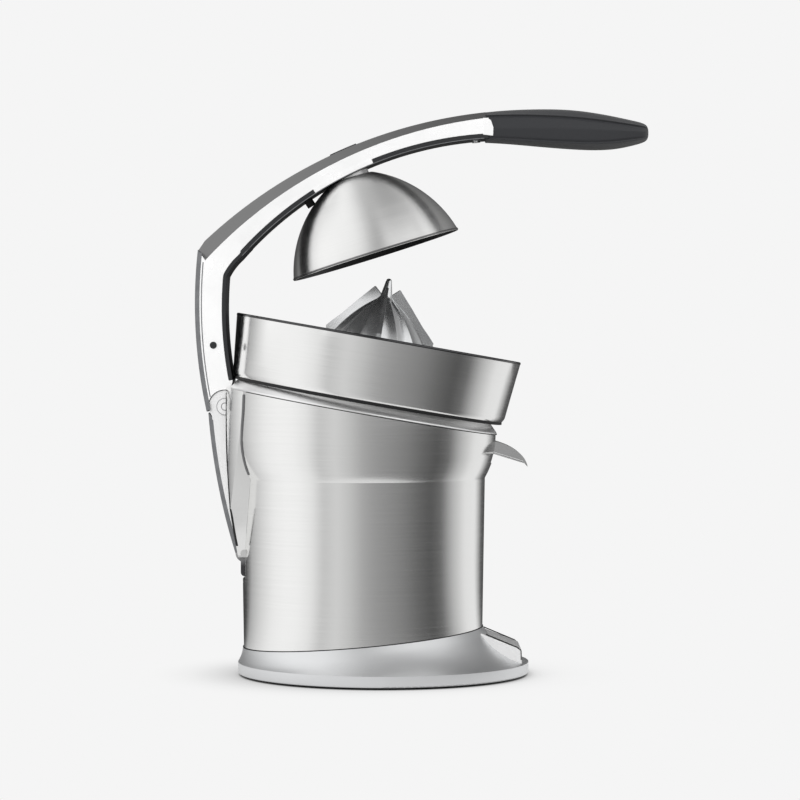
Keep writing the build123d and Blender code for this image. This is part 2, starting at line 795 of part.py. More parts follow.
# Output shaft: round in its bushes, hexagonal in the cone
slow_top = pad_bottom - cover_thickness - gear_layer_gap
slow_low = slow_top - slow_face
with BuildPart() as output_shaft:
    with BuildSketch(deck.offset(slow_low)):
        Circle(shaft_radius)
    extrude(amount=tower_height + seal_height - slow_low)
    with BuildSketch(deck.offset(tower_height + seal_height)):
        RegularPolygon(hex_flats / 2, 6, major_radius=False)
    extrude(amount=bowl_rim + socket_top - tower_height - seal_height)
finish_part(output_shaft, "output_shaft")

# Shaft bushes: one at the top of the tower, one at the deck's underside
for name, bush_top in (("bush_upper", tower_height), ("bush_lower", pad_bottom + bush_length)):
    with BuildPart() as bush:
        with BuildSketch(deck.offset(bush_top)):
            Circle(shaft_bore)
            Circle(shaft_radius + running_gap, mode=Mode.SUBTRACT)
        extrude(amount=-bush_length)
    finish_part(bush, name)

# Shaft seal: a rubber ring that sits on the tower under the hexagon
with BuildPart() as shaft_seal:
    with BuildSketch(deck.offset(tower_height)):
        Circle(tower_radius)
        Circle(shaft_radius + running_gap, mode=Mode.SUBTRACT)
    extrude(amount=seal_height - slip_gap)
finish_part(shaft_seal, "shaft_seal")

# Output gear: the slow wheel, keyed on the shaft
with BuildPart() as output_gear:
    with BuildSketch(deck.offset(slow_low)):
        with BuildLine():
            Polyline(*gear_points(slow_module, slow_wheel_teeth, mesh_angle), close=True)
        make_face()
        Circle(shaft_radius, mode=Mode.SUBTRACT)
    extrude(amount=slow_face)
finish_part(output_gear, "output_gear")

# Idler cluster: fast wheel below, slow pinion above, turning on a fixed axle
fast_top = slow_low - gear_layer_gap
fast_low = fast_top - fast_face
with BuildPart() as idler_gear:
    idler_plane = Plane(deck.from_local_coords((0, gear_distance, 0)), deck.x_dir, deck.z_dir)
    with BuildSketch(idler_plane.offset(fast_low)):
        with BuildLine():
            wheel_angle = mesh_angle + 180 + 180 / fast_wheel_teeth
            Polyline(*gear_points(fast_module, fast_wheel_teeth, wheel_angle), close=True)
        make_face()
    extrude(amount=fast_face)
    with BuildSketch(idler_plane.offset(fast_top)):
        with BuildLine():
            pinion_angle = mesh_angle + 180 + 180 / slow_pinion_teeth
            Polyline(*gear_points(slow_module, slow_pinion_teeth, pinion_angle), close=True)
        make_face()
    extrude(amount=slow_top - fast_top)
    with BuildSketch(idler_plane.offset(fast_low)):
        Circle(axle_radius + running_gap)
    extrude(amount=slow_top - fast_low, mode=Mode.SUBTRACT)
finish_part(idler_gear, "idler_gear")

# Idler axle: fixed between the gearbox floor and its cover
floor_top = fast_low - gear_layer_gap
floor_low = floor_top - cover_thickness
with BuildPart() as idler_axle:
    with BuildSketch(idler_plane.offset(floor_low)):
        Circle(axle_radius)
    extrude(amount=pad_bottom - floor_low)
finish_part(idler_axle, "idler_axle")

# Gearbox cover and housing: a lid under the deck's pad and a cup below it, with holes for the shafts
with BuildPart() as gearbox_cover:
    with BuildSketch(deck.offset(pad_bottom)):
        with Locations((0, gear_distance / 2)):
            SlotCenterToCenter(gear_distance, 2 * gearbox_radius, rotation=90)
        Circle(shaft_bore, mode=Mode.SUBTRACT)
        with Locations((0, gear_distance)):
            Circle(axle_radius, mode=Mode.SUBTRACT)
    extrude(amount=-cover_thickness)
    with BuildSketch(deck):
        with Locations(*gearbox_spots):
            Circle(gearbox_screw_radius)
    extrude(amount=pad_bottom - cover_thickness - screw_bite, mode=Mode.SUBTRACT)
finish_part(gearbox_cover, "gearbox_cover")

with BuildPart() as gearbox_housing:
    with BuildSketch(deck.offset(pad_bottom - cover_thickness)):
        with Locations((0, gear_distance / 2)):
            SlotCenterToCenter(gear_distance, 2 * gearbox_radius, rotation=90)
    extrude(amount=floor_low - pad_bottom + cover_thickness)
    with BuildSketch(deck.offset(pad_bottom - cover_thickness)):
        with Locations((0, gear_distance / 2)):
            SlotCenterToCenter(gear_distance, 2 * (gearbox_radius - gearbox_wall), rotation=90)
    extrude(amount=floor_top - pad_bottom + cover_thickness, mode=Mode.SUBTRACT)
    with BuildSketch(deck.offset(floor_low)):
        Circle(rotor_shaft_radius + bush_wall)
        with Locations((0, gear_distance)):
            Circle(axle_radius)
    extrude(amount=cover_thickness, mode=Mode.SUBTRACT)
    with BuildSketch(deck):
        with Locations(*gearbox_spots):
            Circle(gearbox_screw_radius)
    extrude(amount=pad_bottom - cover_thickness - screw_bite, mode=Mode.SUBTRACT)
finish_part(gearbox_housing, "gearbox_housing")

# Motor: can under the gearbox, stator ring in it, a bush at each end
motor_low = floor_low - motor_length
stator_middle = floor_low - motor_length / 2
with BuildPart() as motor_can:
    with BuildSketch(deck.offset(floor_low)):
        Circle(motor_radius)
    extrude(amount=-motor_length)
    fillet(motor_can.edges().sort_by(deck_axis)[0], motor_wall)
    with BuildSketch(deck.offset(floor_low)):
        Circle(motor_radius - motor_wall)
    extrude(amount=motor_wall - motor_length, mode=Mode.SUBTRACT)
    with BuildSketch(deck.offset(motor_low)):
        Circle(rotor_shaft_radius + 2 * bush_wall)
    extrude(amount=bush_length)
    with BuildSketch(deck.offset(motor_low)):
        Circle(rotor_shaft_radius + bush_wall)
    extrude(amount=bush_length, mode=Mode.SUBTRACT)
finish_part(motor_can, "motor_can")

with BuildPart() as stator:
    with BuildSketch(deck.offset(stator_middle)):
        Circle(motor_radius - motor_wall)
        Circle(motor_radius - motor_wall - stator_wall, mode=Mode.SUBTRACT)
    extrude(amount=stator_length / 2, both=True)
finish_part(stator, "stator")

for name, bush_low, length in (
    ("motor_bush_upper", floor_low, cover_thickness),
    ("motor_bush_lower", motor_low, bush_length),
):
    with BuildPart() as motor_bush:
        with BuildSketch(deck.offset(bush_low)):
            Circle(rotor_shaft_radius + bush_wall)
            Circle(rotor_shaft_radius + running_gap, mode=Mode.SUBTRACT)
        extrude(amount=length)
    finish_part(motor_bush, name)

# Rotor: iron core on its shaft, and the fast pinion cut on a piece of its own
with BuildPart() as rotor:
    with BuildSketch(deck.offset(stator_middle)):
        Circle(motor_radius - motor_wall - stator_wall - air_gap)
    extrude(amount=stator_length / 2, both=True)
    with BuildSketch(deck.offset(motor_low + slip_gap)):
        Circle(rotor_shaft_radius)
    extrude(amount=fast_top - motor_low - slip_gap)
finish_part(rotor, "rotor")

with BuildPart() as motor_pinion:
    with BuildSketch(deck.offset(fast_low)):
        with BuildLine():
            Polyline(*gear_points(fast_module, fast_pinion_teeth, mesh_angle), close=True)
        make_face()
        Circle(rotor_shaft_radius, mode=Mode.SUBTRACT)
    extrude(amount=fast_face)
finish_part(motor_pinion, "motor_pinion")

# Gearbox screws: through the deck and the cover into the housing's wall, one node each
for number, spot in enumerate(gearbox_spots):
    screw_plane = Plane(deck.from_local_coords((*spot, 0)), deck.x_dir, deck.z_dir)
    with BuildPart() as gearbox_screw:
        with BuildSketch(screw_plane.offset(pad_bottom - cover_thickness - screw_bite)):
            Circle(gearbox_screw_radius)
        extrude(amount=screw_bite + cover_thickness - pad_bottom)
        with BuildSketch(screw_plane):
            Circle(2 * gearbox_screw_radius)
        extrude(amount=gearbox_screw_radius)
    finish_part(gearbox_screw, f"gearbox_screw_{number + 1}")

# Lower link: a forked lever from the hidden hinge up to the knuckle, with a tail that works the switch
body_radius = link_back_radius - strip_thickness
link_body_low = on_circle(link_back_x, link_back_z, body_radius, link_back_bottom, -1)
link_body_mid = on_circle(link_back_x, link_back_z, body_radius, (link_back_bottom + link_back_top) / 2, -1)
link_body_top = on_circle(link_back_x, link_back_z, body_radius, link_back_top, -1)
tail_tip = (foot_x, foot_z - tail_length)
with BuildPart() as lower_link:
    with BuildSketch(Plane.XZ):
        with BuildLine():
            ThreePointArc(link_body_low, link_body_mid, link_body_top)
            link_front_top = (knuckle_x + knuckle_radius, knuckle_z)
            link_front_low = (foot_x + link_foot_radius, foot_z)
            Polyline(link_body_top, knuckle, link_front_top, link_front_low, link_foot, link_body_low)
        make_face()
        with Locations(knuckle):
            Circle(knuckle_radius)
        with Locations(link_foot):
            Circle(link_foot_radius)
        with Locations(tail_tip):
            Circle(tail_width / 2)
        with Locations((foot_x, foot_z - tail_length / 2)):
            Rectangle(tail_width, tail_length)
    extrude(amount=link_width / 2, both=True)
    with BuildSketch(Plane.XZ):
        with Locations(knuckle):
            Circle(knuckle_radius + strip_thickness)
    extrude(amount=fork_slot / 2, both=True, mode=Mode.SUBTRACT)
    with BuildSketch(Plane.XZ):
        with Locations(knuckle):
            Circle(pivot_pin_radius)
        with Locations(link_foot):
            Circle(hinge_pin_radius + running_gap)
    extrude(amount=link_width / 2, both=True, mode=Mode.SUBTRACT)
finish_part(lower_link, "lower_link")

# Link back strip: a dark cover along the link's back
with BuildPart() as link_strip:
    with BuildSketch(Plane.XZ):
        with BuildLine():
            strip_mid_z = (strip_bottom + link_back_top) / 2
            outer_low = on_circle(link_back_x, link_back_z, link_back_radius, strip_bottom, -1)
            outer_mid = on_circle(link_back_x, link_back_z, link_back_radius, strip_mid_z, -1)
            outer_top = on_circle(link_back_x, link_back_z, link_back_radius, link_back_top, -1)
            strip_low = on_circle(link_back_x, link_back_z, body_radius, strip_bottom, -1)
            strip_mid = on_circle(link_back_x, link_back_z, body_radius, strip_mid_z, -1)
            ThreePointArc(outer_low, outer_mid, outer_top)
            ThreePointArc(strip_low, strip_mid, link_body_top)
            Line(outer_low, strip_low)
            Line(outer_top, link_body_top)
        make_face()
    extrude(amount=link_width / 2, both=True)
    add(lower_link.part, mode=Mode.SUBTRACT)
    with BuildSketch(Plane.XZ):
        with Locations(knuckle):
            Circle(knuckle_radius + knuckle_gap)
    extrude(amount=link_width / 2, both=True, mode=Mode.SUBTRACT)
finish_part(link_strip, "link_strip")

# Pivot pin and washers of the knuckle
pin_half = link_width / 2
with BuildPart() as pivot_pin:
    with BuildSketch(Plane.XZ):
        with Locations(knuckle):
            Circle(pivot_pin_radius)
    extrude(amount=pin_half, both=True)
    with BuildSketch(Plane.XZ):
        with Locations(knuckle):
            Circle(pin_stub_radius)
    extrude(amount=pin_half + washer_thickness + pin_stub_rise, both=True)
finish_part(pivot_pin, "pivot_pin")

for name, side in (("washer_near", 1), ("washer_far", -1)):
    with BuildPart() as washer:
        with BuildSketch(Plane.XZ.offset(side * pin_half)):
            with Locations(knuckle):
                Circle(washer_radius)
                Circle(pin_stub_radius, mode=Mode.SUBTRACT)
        extrude(amount=side * washer_thickness)
    finish_part(washer, name)

# Return spring: a torsion coil on the pivot pin, between the two lugs of the arm
spring_half = spring_turns * spring_pitch / 2
spring_radius = pivot_pin_radius + spring_wire + running_gap
with BuildPart() as return_spring:
    with BuildLine() as coil:
        for half in range(2 * spring_turns):
            y_start = -spring_half + half * spring_pitch / 2
            side = 1 if half % 2 == 0 else -1
            bulge = hypot(spring_radius, spring_pitch / 4)
            ThreePointArc(
                (knuckle_x + side * spring_radius, y_start, knuckle_z),
                (knuckle_x, y_start + spring_pitch / 4, knuckle_z + side * bulge),
                (knuckle_x - side * spring_radius, y_start + spring_pitch / 2, knuckle_z),
            )
    with BuildSketch(Plane(coil.line @ 0, z_dir=coil.line % 0)):
        Circle(spring_wire)
    sweep(path=coil.line)
finish_part(return_spring, "return_spring")

# Arm outline: an upright behind the bowl, an elbow, and a long curved bar out to the grip
arm_top_x, arm_top_z = arc_centre(arm_top_rear, arm_top_front, arm_top_radius)
bevel_x, bevel_z = arc_centre(bevel_rear, bevel_front, bevel_radius)
arm_inner_x, arm_inner_z = arc_centre(arm_inner_rear, arm_inner_front, arm_inner_radius)
arm_tail = on_circle(arm_back_x, arm_back_z, arm_back_radius, arm_tail_z, -1)
arm_back_mid = on_circle(arm_back_x, arm_back_z, arm_back_radius, (arm_tail_z + elbow_back_z) / 2, -1)
elbow_low = on_circle(arm_back_x, arm_back_z, arm_back_radius, elbow_back_z, -1)
elbow_top = above(arm_top_x, arm_top_z, arm_top_radius, elbow_low[0] + elbow_corner)
arm_top_mid = above(arm_top_x, arm_top_z, arm_top_radius, 0)
arm_top_end = above(arm_top_x, arm_top_z, arm_top_radius, grip_joint_x)
under_end = above(arm_inner_x, arm_inner_z, arm_inner_radius, grip_joint_x)
under_mid = above(arm_inner_x, arm_inner_z, arm_inner_radius, 0)
elbow_inner_top = above(arm_inner_x, arm_inner_z, arm_inner_radius, elbow_inner_x)
elbow_inner_low = on_circle(arm_front_x, arm_front_z, arm_front_radius, arm_front_high, -1)
front_mid = on_circle(arm_front_x, arm_front_z, arm_front_radius, (arm_front_low + arm_front_high) / 2, -1)
front_low = on_circle(arm_front_x, arm_front_z, arm_front_radius, arm_front_low, -1)
strip_radius = arm_back_radius - strip_thickness
with BuildSketch(Plane.XZ) as arm_side:
    with BuildLine():
        ThreePointArc(arm_tail, arm_back_mid, elbow_low)
        Line(elbow_low, elbow_top)
        ThreePointArc(elbow_top, arm_top_mid, arm_top_end)
        Line(arm_top_end, under_end)
        ThreePointArc(under_end, under_mid, elbow_inner_top)
        ThreePointArc(elbow_inner_top, elbow_inner_mid, elbow_inner_low)
        ThreePointArc(elbow_inner_low, front_mid, front_low)
        Polyline(front_low, (knuckle_x, arm_tail_z), arm_tail)
    make_face()
    with Locations(knuckle):
        Circle(knuckle_radius + knuckle_gap, mode=Mode.SUBTRACT)

with BuildSketch(Plane.XZ) as top_region:
    add(arm_side.sketch)
    with Locations((bevel_x, bevel_z)):
        Circle(bevel_radius, mode=Mode.SUBTRACT)
    Polygon(
        elbow_low, elbow_cut, (elbow_cut[0], arm_front_low), (2 * elbow_low[0], arm_front_low), align=None,
        mode=Mode.SUBTRACT,
    )

with BuildSketch(Plane.XZ) as back_region:
    add(arm_side.sketch)
    with Locations((arm_back_x, arm_back_z)):
        Circle(strip_radius, mode=Mode.SUBTRACT)
    add(top_region.sketch, mode=Mode.SUBTRACT)

cover_radius = arm_inner_radius + under_cover_thickness
with BuildSketch(Plane.XZ) as under_region:
    with BuildLine():
        ThreePointArc(elbow_inner_top, under_mid, under_end)
        cover_start = above(arm_inner_x, arm_inner_z, cover_radius, elbow_inner_x)
        cover_end = above(arm_inner_x, arm_inner_z, cover_radius, grip_joint_x)
        ThreePointArc(cover_start, above(arm_inner_x, arm_inner_z, cover_radius, 0), cover_end)
        Line(elbow_inner_top, cover_start)
        Line(under_end, cover_end)
    make_face()

with BuildSketch(Plane.XY) as arm_plan:
    Polygon(
        (2 * elbow_low[0], -arm_width / 2), (elbow_inner_x, -arm_width / 2),
        (grip_joint_x, -arm_front_width / 2), (tenon_end_x, -arm_front_width / 2),
        (tenon_end_x, arm_front_width / 2), (grip_joint_x, arm_front_width / 2),
        (elbow_inner_x, arm_width / 2), (2 * elbow_low[0], arm_width / 2), align=None,
    )

# Arm casting: the polished core, with two lugs on the pivot pin and a tenon for the grip
lug_radius = knuckle_radius - knuckle_gap
with BuildPart() as arm_casting:
    with BuildSketch(Plane.XZ):
        add(arm_side.sketch)
        add(top_region.sketch, mode=Mode.SUBTRACT)
        add(back_region.sketch, mode=Mode.SUBTRACT)
        add(under_region.sketch, mode=Mode.SUBTRACT)
    extrude(amount=arm_width / 2, both=True)
    add(extrude(arm_plan.sketch, amount=2 * arm_top_radius, mode=Mode.PRIVATE), mode=Mode.INTERSECT)
    with BuildSketch(Plane.XZ):
        with Locations(knuckle):
            Circle(lug_radius)
        Polygon(
            (knuckle_x - lug_radius, knuckle_z), (front_low[0] - slip_gap, knuckle_z),
            (front_low[0] - slip_gap, arm_front_low + slip_gap), (knuckle_x - lug_radius, arm_front_low),
            align=None,
        )
        with Locations(knuckle):
            Circle(pivot_pin_radius + running_gap, mode=Mode.SUBTRACT)
    extrude(amount=fork_slot / 2 - slip_gap, both=True)
    with BuildSketch(Plane.XZ):
        with Locations(knuckle):
            Circle(lug_radius)
    extrude(amount=spring_half + 3 * spring_wire, both=True, mode=Mode.SUBTRACT)
    with BuildSketch(Plane.XZ):
        with Locations(((tenon_start_x + tenon_end_x) / 2, (tenon_low + tenon_high) / 2)):
            Rectangle(tenon_end_x - tenon_start_x, tenon_high - tenon_low)
    extrude(amount=tenon_width / 2, both=True)
finish_part(arm_casting, "arm_casting")

# Arm top cover: a brushed strip with bevelled sides that narrow from the elbow to the grip


def bevel_ray(angle):
    """Distance from the top curve's centre to the bevel's lower edge, along a ray."""
    away_x = arm_top_x - bevel_x
    away_z = arm_top_z - bevel_z
    along = away_x * cos(radians(angle)) + away_z * sin(radians(angle))
    return -along + sqrt(along**2 - away_x**2 - away_z**2 + bevel_radius**2)


rear_angle = degrees(atan2(arm_top_rear[1] - arm_top_z, arm_top_rear[0] - arm_top_x))
front_angle = degrees(atan2(arm_top_front[1] - arm_top_z, arm_top_front[0] - arm_top_x))
elbow_angle = rear_angle + elbow_overshoot
joint_angle = front_angle + joint_overshoot
with BuildPart() as arm_cover:
    for step in range(cover_steps + 1):
        share = step / cover_steps
        angle = elbow_angle + share * (joint_angle - elbow_angle)
        ray = (cos(radians(angle)), 0, sin(radians(angle)))
        low = bevel_ray(angle)
        half = (arm_width + share * (arm_front_width - arm_width)) / 2
        high = arm_top_radius + cover_sink
        inner_half = half - bevel_slope * (high - low)
        along = (sin(radians(angle)), 0, -cos(radians(angle)))
        station = Plane((arm_top_x, 0, arm_top_z), x_dir=ray, z_dir=along)
        with BuildSketch(station):
            Polygon(
                (low - cover_sink, -half), (low, -half), (high, -inner_half),
                (high, inner_half), (low, half), (low - cover_sink, half), align=None,
            )
    loft()
    with BuildSketch(Plane.XZ):
        add(top_region.sketch)
    extrude(amount=arm_width, both=True, mode=Mode.INTERSECT)
finish_part(arm_cover, "arm_cover")

# Arm back strip: dark trim down the back of the upright to the knuckle
with BuildPart() as arm_strip:
    with BuildSketch(Plane.XZ):
        add(back_region.sketch)
    extrude(amount=arm_width / 2, both=True)
finish_part(arm_strip, "arm_strip")

# Dome and liner: a pressed steel cup that comes down over the fruit, with a dark moulded lining
dome_meridian = meridian(dome_frame)
bulge_x = dome_radius - sqrt(dome_bulge_radius**2 - dome_bulge_drop**2)


def dome_outline(inset, top_inset):
    """Half outline of the dome, inset from its outer face."""
    bulge = dome_bulge_radius - inset
    top = dome_height - top_inset
    start = (bulge_x + sqrt(bulge**2 - dome_bulge_drop**2), 0)
    half_way = top / 2
    middle = (bulge_x + sqrt(bulge**2 - (half_way + dome_bulge_drop) ** 2), half_way)
    crown = (bulge_x + sqrt(bulge**2 - (top + dome_bulge_drop) ** 2), top)
    with BuildSketch() as outline:
        with BuildLine():
            ThreePointArc(start, middle, crown)
            Polyline(crown, (0, top), (0, 0), start)
        make_face()
    return outline.sketch


dome_outside = dome_outline(0, 0)
dome_inside = dome_outline(dome_wall, dome_wall)
liner_inside = dome_outline(dome_wall + liner_wall, dome_wall + liner_wall)
with BuildPart() as dome:
    with BuildSketch(dome_meridian):
        add(dome_outside)
        add(dome_inside, mode=Mode.SUBTRACT)
    revolve(axis=dome_axis)
finish_part(dome, "dome")

with BuildPart() as dome_liner:
    with BuildSketch(dome_meridian):
        add(dome_inside)
        add(liner_inside, mode=Mode.SUBTRACT)
    revolve(axis=dome_axis)
    with BuildSketch(dome_frame):
        Circle(dome_radius)
    extrude(amount=liner_lip, mode=Mode.SUBTRACT)
finish_part(dome_liner, "dome_liner")

# Arm under cover: dark plate that closes the casting from below
with BuildPart() as arm_under:
    with BuildSketch(Plane.XZ):
        add(under_region.sketch)
    extrude(amount=arm_width / 2, both=True)
    add(extrude(arm_plan.sketch, amount=2 * arm_top_radius, mode=Mode.PRIVATE), mode=Mode.INTERSECT)
    with BuildSketch(dome_meridian):
        add(dome_outside)
    revolve(axis=dome_axis, mode=Mode.SUBTRACT)
finish_part(arm_under, "arm_under")

# Grip: soft-touch hand grip with bevelled long edges, over the casting's tenon
with BuildSketch(Plane.XZ) as grip_side:
    with BuildLine():
        ThreePointArc(grip_top_start, grip_top_mid, grip_top_end)
        ThreePointArc(grip_top_end, grip_nose, grip_low_end)
        ThreePointArc(grip_low_end, grip_low_mid, grip_low_start)
        Line(grip_low_start, grip_top_start)
    make_face()

flat_half = grip_width / 2 - grip_facet
with BuildPart() as grip:
    extrude(grip_side.sketch, amount=flat_half, both=True)
    for side in (-1, 1):
        facet_face = grip.faces().sort_by(Axis.Y)[0 if side < 0 else -1]
        extrude(facet_face, amount=grip_facet, taper=grip_facet_angle)
    fillet(grip.faces().sort_by(Axis.Y)[0].edges(), grip_round)
    fillet(grip.faces().sort_by(Axis.Y)[-1].edges(), grip_round)
    with BuildSketch(Plane.XZ):
        add(arm_side.sketch)
    extrude(amount=arm_width, both=True, mode=Mode.SUBTRACT)
    add(arm_casting.part, mode=Mode.SUBTRACT)
finish_part(grip, "grip")

# Dome hub: a polished boss between the arm and the dome
with BuildPart() as dome_hub:
    with BuildSketch(dome_frame.offset(dome_height)):
        Circle(hub_radius)
    extrude(amount=hub_rise)
    with BuildSketch(Plane.XZ):
        with Locations((arm_inner_x, arm_inner_z)):
            Circle(arm_inner_radius - seat_gap)
    extrude(amount=arm_width, both=True, mode=Mode.INTERSECT)
finish_part(dome_hub, "dome_hub")

# Hub cap: a dark cover over the dome's fixing on top of the arm
with BuildPart() as hub_cap:
    with BuildSketch(Plane.XZ):
        with BuildLine():
            cap_radius = arm_top_radius + cap_rise
            cap_middle = (cap_rear_x + cap_front_x) / 2
            low_rear = above(arm_top_x, arm_top_z, arm_top_radius, cap_rear_x)
            low_front = above(arm_top_x, arm_top_z, arm_top_radius, cap_front_x)
            high_rear = above(arm_top_x, arm_top_z, cap_radius, cap_rear_x)
            high_front = above(arm_top_x, arm_top_z, cap_radius, cap_front_x)
            ThreePointArc(low_rear, above(arm_top_x, arm_top_z, arm_top_radius, cap_middle), low_front)
            ThreePointArc(high_rear, above(arm_top_x, arm_top_z, cap_radius, cap_middle), high_front)
            Line(low_rear, high_rear)
            Line(low_front, high_front)
        make_face()
    extrude(amount=cap_width / 2, both=True)
finish_part(hub_cap, "hub_cap")

# Side plugs: dark covers on both faces of the upright
for name, side in (("plug_near", 1), ("plug_far", -1)):
    with BuildPart() as plug:
        with BuildSketch(Plane.XZ.offset(side * arm_width / 2)):
            with Locations((plug_x, plug_z)):
                Circle(plug_radius)
        extrude(amount=side * plug_rise)
    finish_part(plug, name)

# Under-arm screw and rubber bumper, both square to the under curve


def under_plane(x):
    """Plane on the under curve at x, facing down and out of the arm."""
    spot = above(arm_inner_x, arm_inner_z, arm_inner_radius, x)
    inward = ((arm_inner_x - spot[0]) / arm_inner_radius, 0, (arm_inner_z - spot[1]) / arm_inner_radius)
    return Plane((spot[0], 0, spot[1]), x_dir=(0, 1, 0), z_dir=inward)


for name, x, radius, length in (
    ("arm_screw", screw_x, screw_radius, screw_radius / 2),
    ("bumper", bumper_x, bumper_radius, bumper_length),
):
    with BuildPart() as under_piece:
        with BuildSketch(under_plane(x).offset(-under_cover_thickness / 2)):
            Circle(radius)
        extrude(amount=length + under_cover_thickness / 2)
        add(arm_under.part, mode=Mode.SUBTRACT)
        with BuildSketch(dome_meridian):
            add(dome_outside)
        revolve(axis=dome_axis, mode=Mode.SUBTRACT)
    finish_part(under_piece, name)

# Spout: a chute with curled sides that flips up on two trunnions
slope = tan(radians(spout_slope))


def spout_line(x):
    """Height of the chute's underside at x."""
    return spout_floor_z + (spout_floor_x - x) * slope


with BuildPart() as spout:
    with BuildSketch(Plane.XZ):
        with BuildLine():
            inner_low = (spout_inner_x, spout_line(spout_inner_x))
            inner_high = (spout_inner_x, spout_line(spout_inner_x) + spout_depth)
            floor_end = (spout_floor_x, spout_floor_z)
            Polyline(spout_root, inner_high, inner_low, floor_end, spout_tip)
            Spline(spout_tip, spout_brow, spout_shoulder, spout_root)
        make_face()
    extrude(amount=spout_width / 2, both=True)
    floor_length = hypot(floor_end[0] - inner_low[0], floor_end[1] - inner_low[1])
    low_edges = spout.edges().filter_by(GeomType.LINE).filter_by(
        lambda edge: abs(edge.length - floor_length) < slip_gap
    )
    fillet(low_edges, spout_corner)
    with BuildSketch(Plane.XZ):
        with BuildLine():
            lift = spout_wall / cos(radians(spout_slope))
            Polyline(
                (spout_inner_x, spout_line(spout_inner_x) + lift),
                (spout_floor_x, spout_floor_z + lift),
                (spout_tip[0] + lift, spout_tip[1] + lift / 2),
                (spout_tip[0] + lift, spout_root[1] + spout_depth),
                (spout_inner_x, spout_root[1] + spout_depth),
                close=True,
            )
        make_face()
    extrude(amount=spout_width / 2 - spout_wall, both=True, mode=Mode.SUBTRACT)
    with BuildSketch(Plane.XZ):
        with Locations((spout_hinge_x, spout_hinge_z)):
            Circle(trunnion_radius)
    extrude(amount=spout_width / 2 + slip_gap + trunnion_length, both=True)
    with BuildSketch(Plane.XZ):
        with Locations((spout_hinge_x, spout_hinge_z)):
            Circle(trunnion_radius)
    extrude(amount=spout_width / 2 - spout_wall, both=True, mode=Mode.SUBTRACT)
finish_part(spout, "spout")

# Switch plunger: a rod through the channel's floor, pushed by the link's tail
plunger_start = foot_x + tail_width / 2 + slip_gap
plunger_end = channel_floor_x + channel_wall + plunger_reach
with BuildPart() as plunger:
    with BuildSketch(Plane.YZ.offset(plunger_start)):
        with Locations((0, foot_z - tail_length)):
            Circle(plunger_radius)
    extrude(amount=plunger_end - plunger_start)
finish_part(plunger, "plunger")

# Microswitch and its bracket on the channel's inner wall
switch_x = plunger_end + plunger_travel + button_length + slip_gap
switch_z = foot_z - tail_length
shelf_z = switch_z + switch_height / 2
with BuildPart() as microswitch:
    with Locations((switch_x + switch_length / 2, 0, switch_z)):
        Box(switch_length, switch_width, switch_height)
    with BuildSketch(Plane.YZ.offset(switch_x)):
        with Locations((0, switch_z)):
            Circle(button_radius)
    extrude(amount=-button_length)
finish_part(microswitch, "microswitch")

wall_x = channel_floor_x + channel_wall
with BuildPart() as switch_bracket:
    with BuildSketch(Plane.XZ):
        with BuildLine():
            Polyline(
                (wall_x, shelf_z), (switch_x + switch_length, shelf_z),
                (switch_x + switch_length, shelf_z + bracket_thickness),
                (wall_x + bracket_thickness, shelf_z + bracket_thickness),
                (wall_x + bracket_thickness, shelf_z + bracket_height),
                (wall_x, shelf_z + bracket_height), close=True,
            )
        make_face()
    extrude(amount=switch_width, both=True)
finish_part(switch_bracket, "switch_bracket")

# Cord gland: a flanged bush in the back of the shell
with BuildPart() as cord_gland:
    with BuildSketch(gland_plane):
        Circle(gland_radius)
    extrude(amount=gland_depth)
    with BuildSketch(gland_plane):
        Circle(gland_flange_radius)
    extrude(amount=-gland_flange)
    fillet(cord_gland.edges().sort_by(Axis(gland_plane.origin, gland_plane.z_dir))[0], gland_flange / 2)
    with BuildSketch(gland_plane.offset(-gland_flange)):
        Circle(gland_bore)
    extrude(amount=gland_depth + gland_flange, mode=Mode.SUBTRACT)
finish_part(cord_gland, "cord_gland")
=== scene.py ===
from math import atan2, cos, pi, radians, sin

import bmesh
import bpy
from mathutils import Matrix, Vector


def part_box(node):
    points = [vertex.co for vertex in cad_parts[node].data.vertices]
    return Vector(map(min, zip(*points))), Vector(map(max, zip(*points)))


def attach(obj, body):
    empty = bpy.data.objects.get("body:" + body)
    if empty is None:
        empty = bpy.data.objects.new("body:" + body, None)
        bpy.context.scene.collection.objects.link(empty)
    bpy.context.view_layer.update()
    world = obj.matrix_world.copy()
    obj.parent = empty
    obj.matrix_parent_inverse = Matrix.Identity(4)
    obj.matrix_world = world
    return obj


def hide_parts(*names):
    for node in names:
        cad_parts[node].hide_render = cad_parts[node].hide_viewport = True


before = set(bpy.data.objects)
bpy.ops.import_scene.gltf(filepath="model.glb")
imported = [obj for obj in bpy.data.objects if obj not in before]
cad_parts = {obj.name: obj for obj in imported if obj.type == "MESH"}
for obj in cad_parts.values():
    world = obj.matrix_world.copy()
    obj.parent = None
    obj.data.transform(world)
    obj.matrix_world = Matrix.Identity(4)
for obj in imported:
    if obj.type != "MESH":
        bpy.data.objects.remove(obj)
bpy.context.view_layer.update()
scene = bpy.context.scene
scene.view_settings.view_transform = "Standard"

# Camera: a long lens two metres off, a little above the bowl, square to the side of the press.
# 0.73 mm of the object's middle plane fall on one pixel of the 800 pixel picture.
mm = 0.001
camera_distance = 2130 * mm
camera_height = 240 * mm
aim_x, aim_z = 27.0 * mm, 200.0 * mm
picture_width = 800 * 0.73 * mm
sensor_width = 36
lens_data = bpy.data.cameras.new("studio_camera")
lens_data.sensor_width = sensor_width
lens_data.lens = sensor_width * camera_distance / picture_width
camera = bpy.data.objects.new("studio_camera", lens_data)
camera.location = (aim_x, -camera_distance, camera_height)
camera.rotation_euler = (pi / 2 - atan2(camera_height - aim_z, camera_distance), 0, 0)
scene.collection.objects.link(camera)
scene.camera = camera

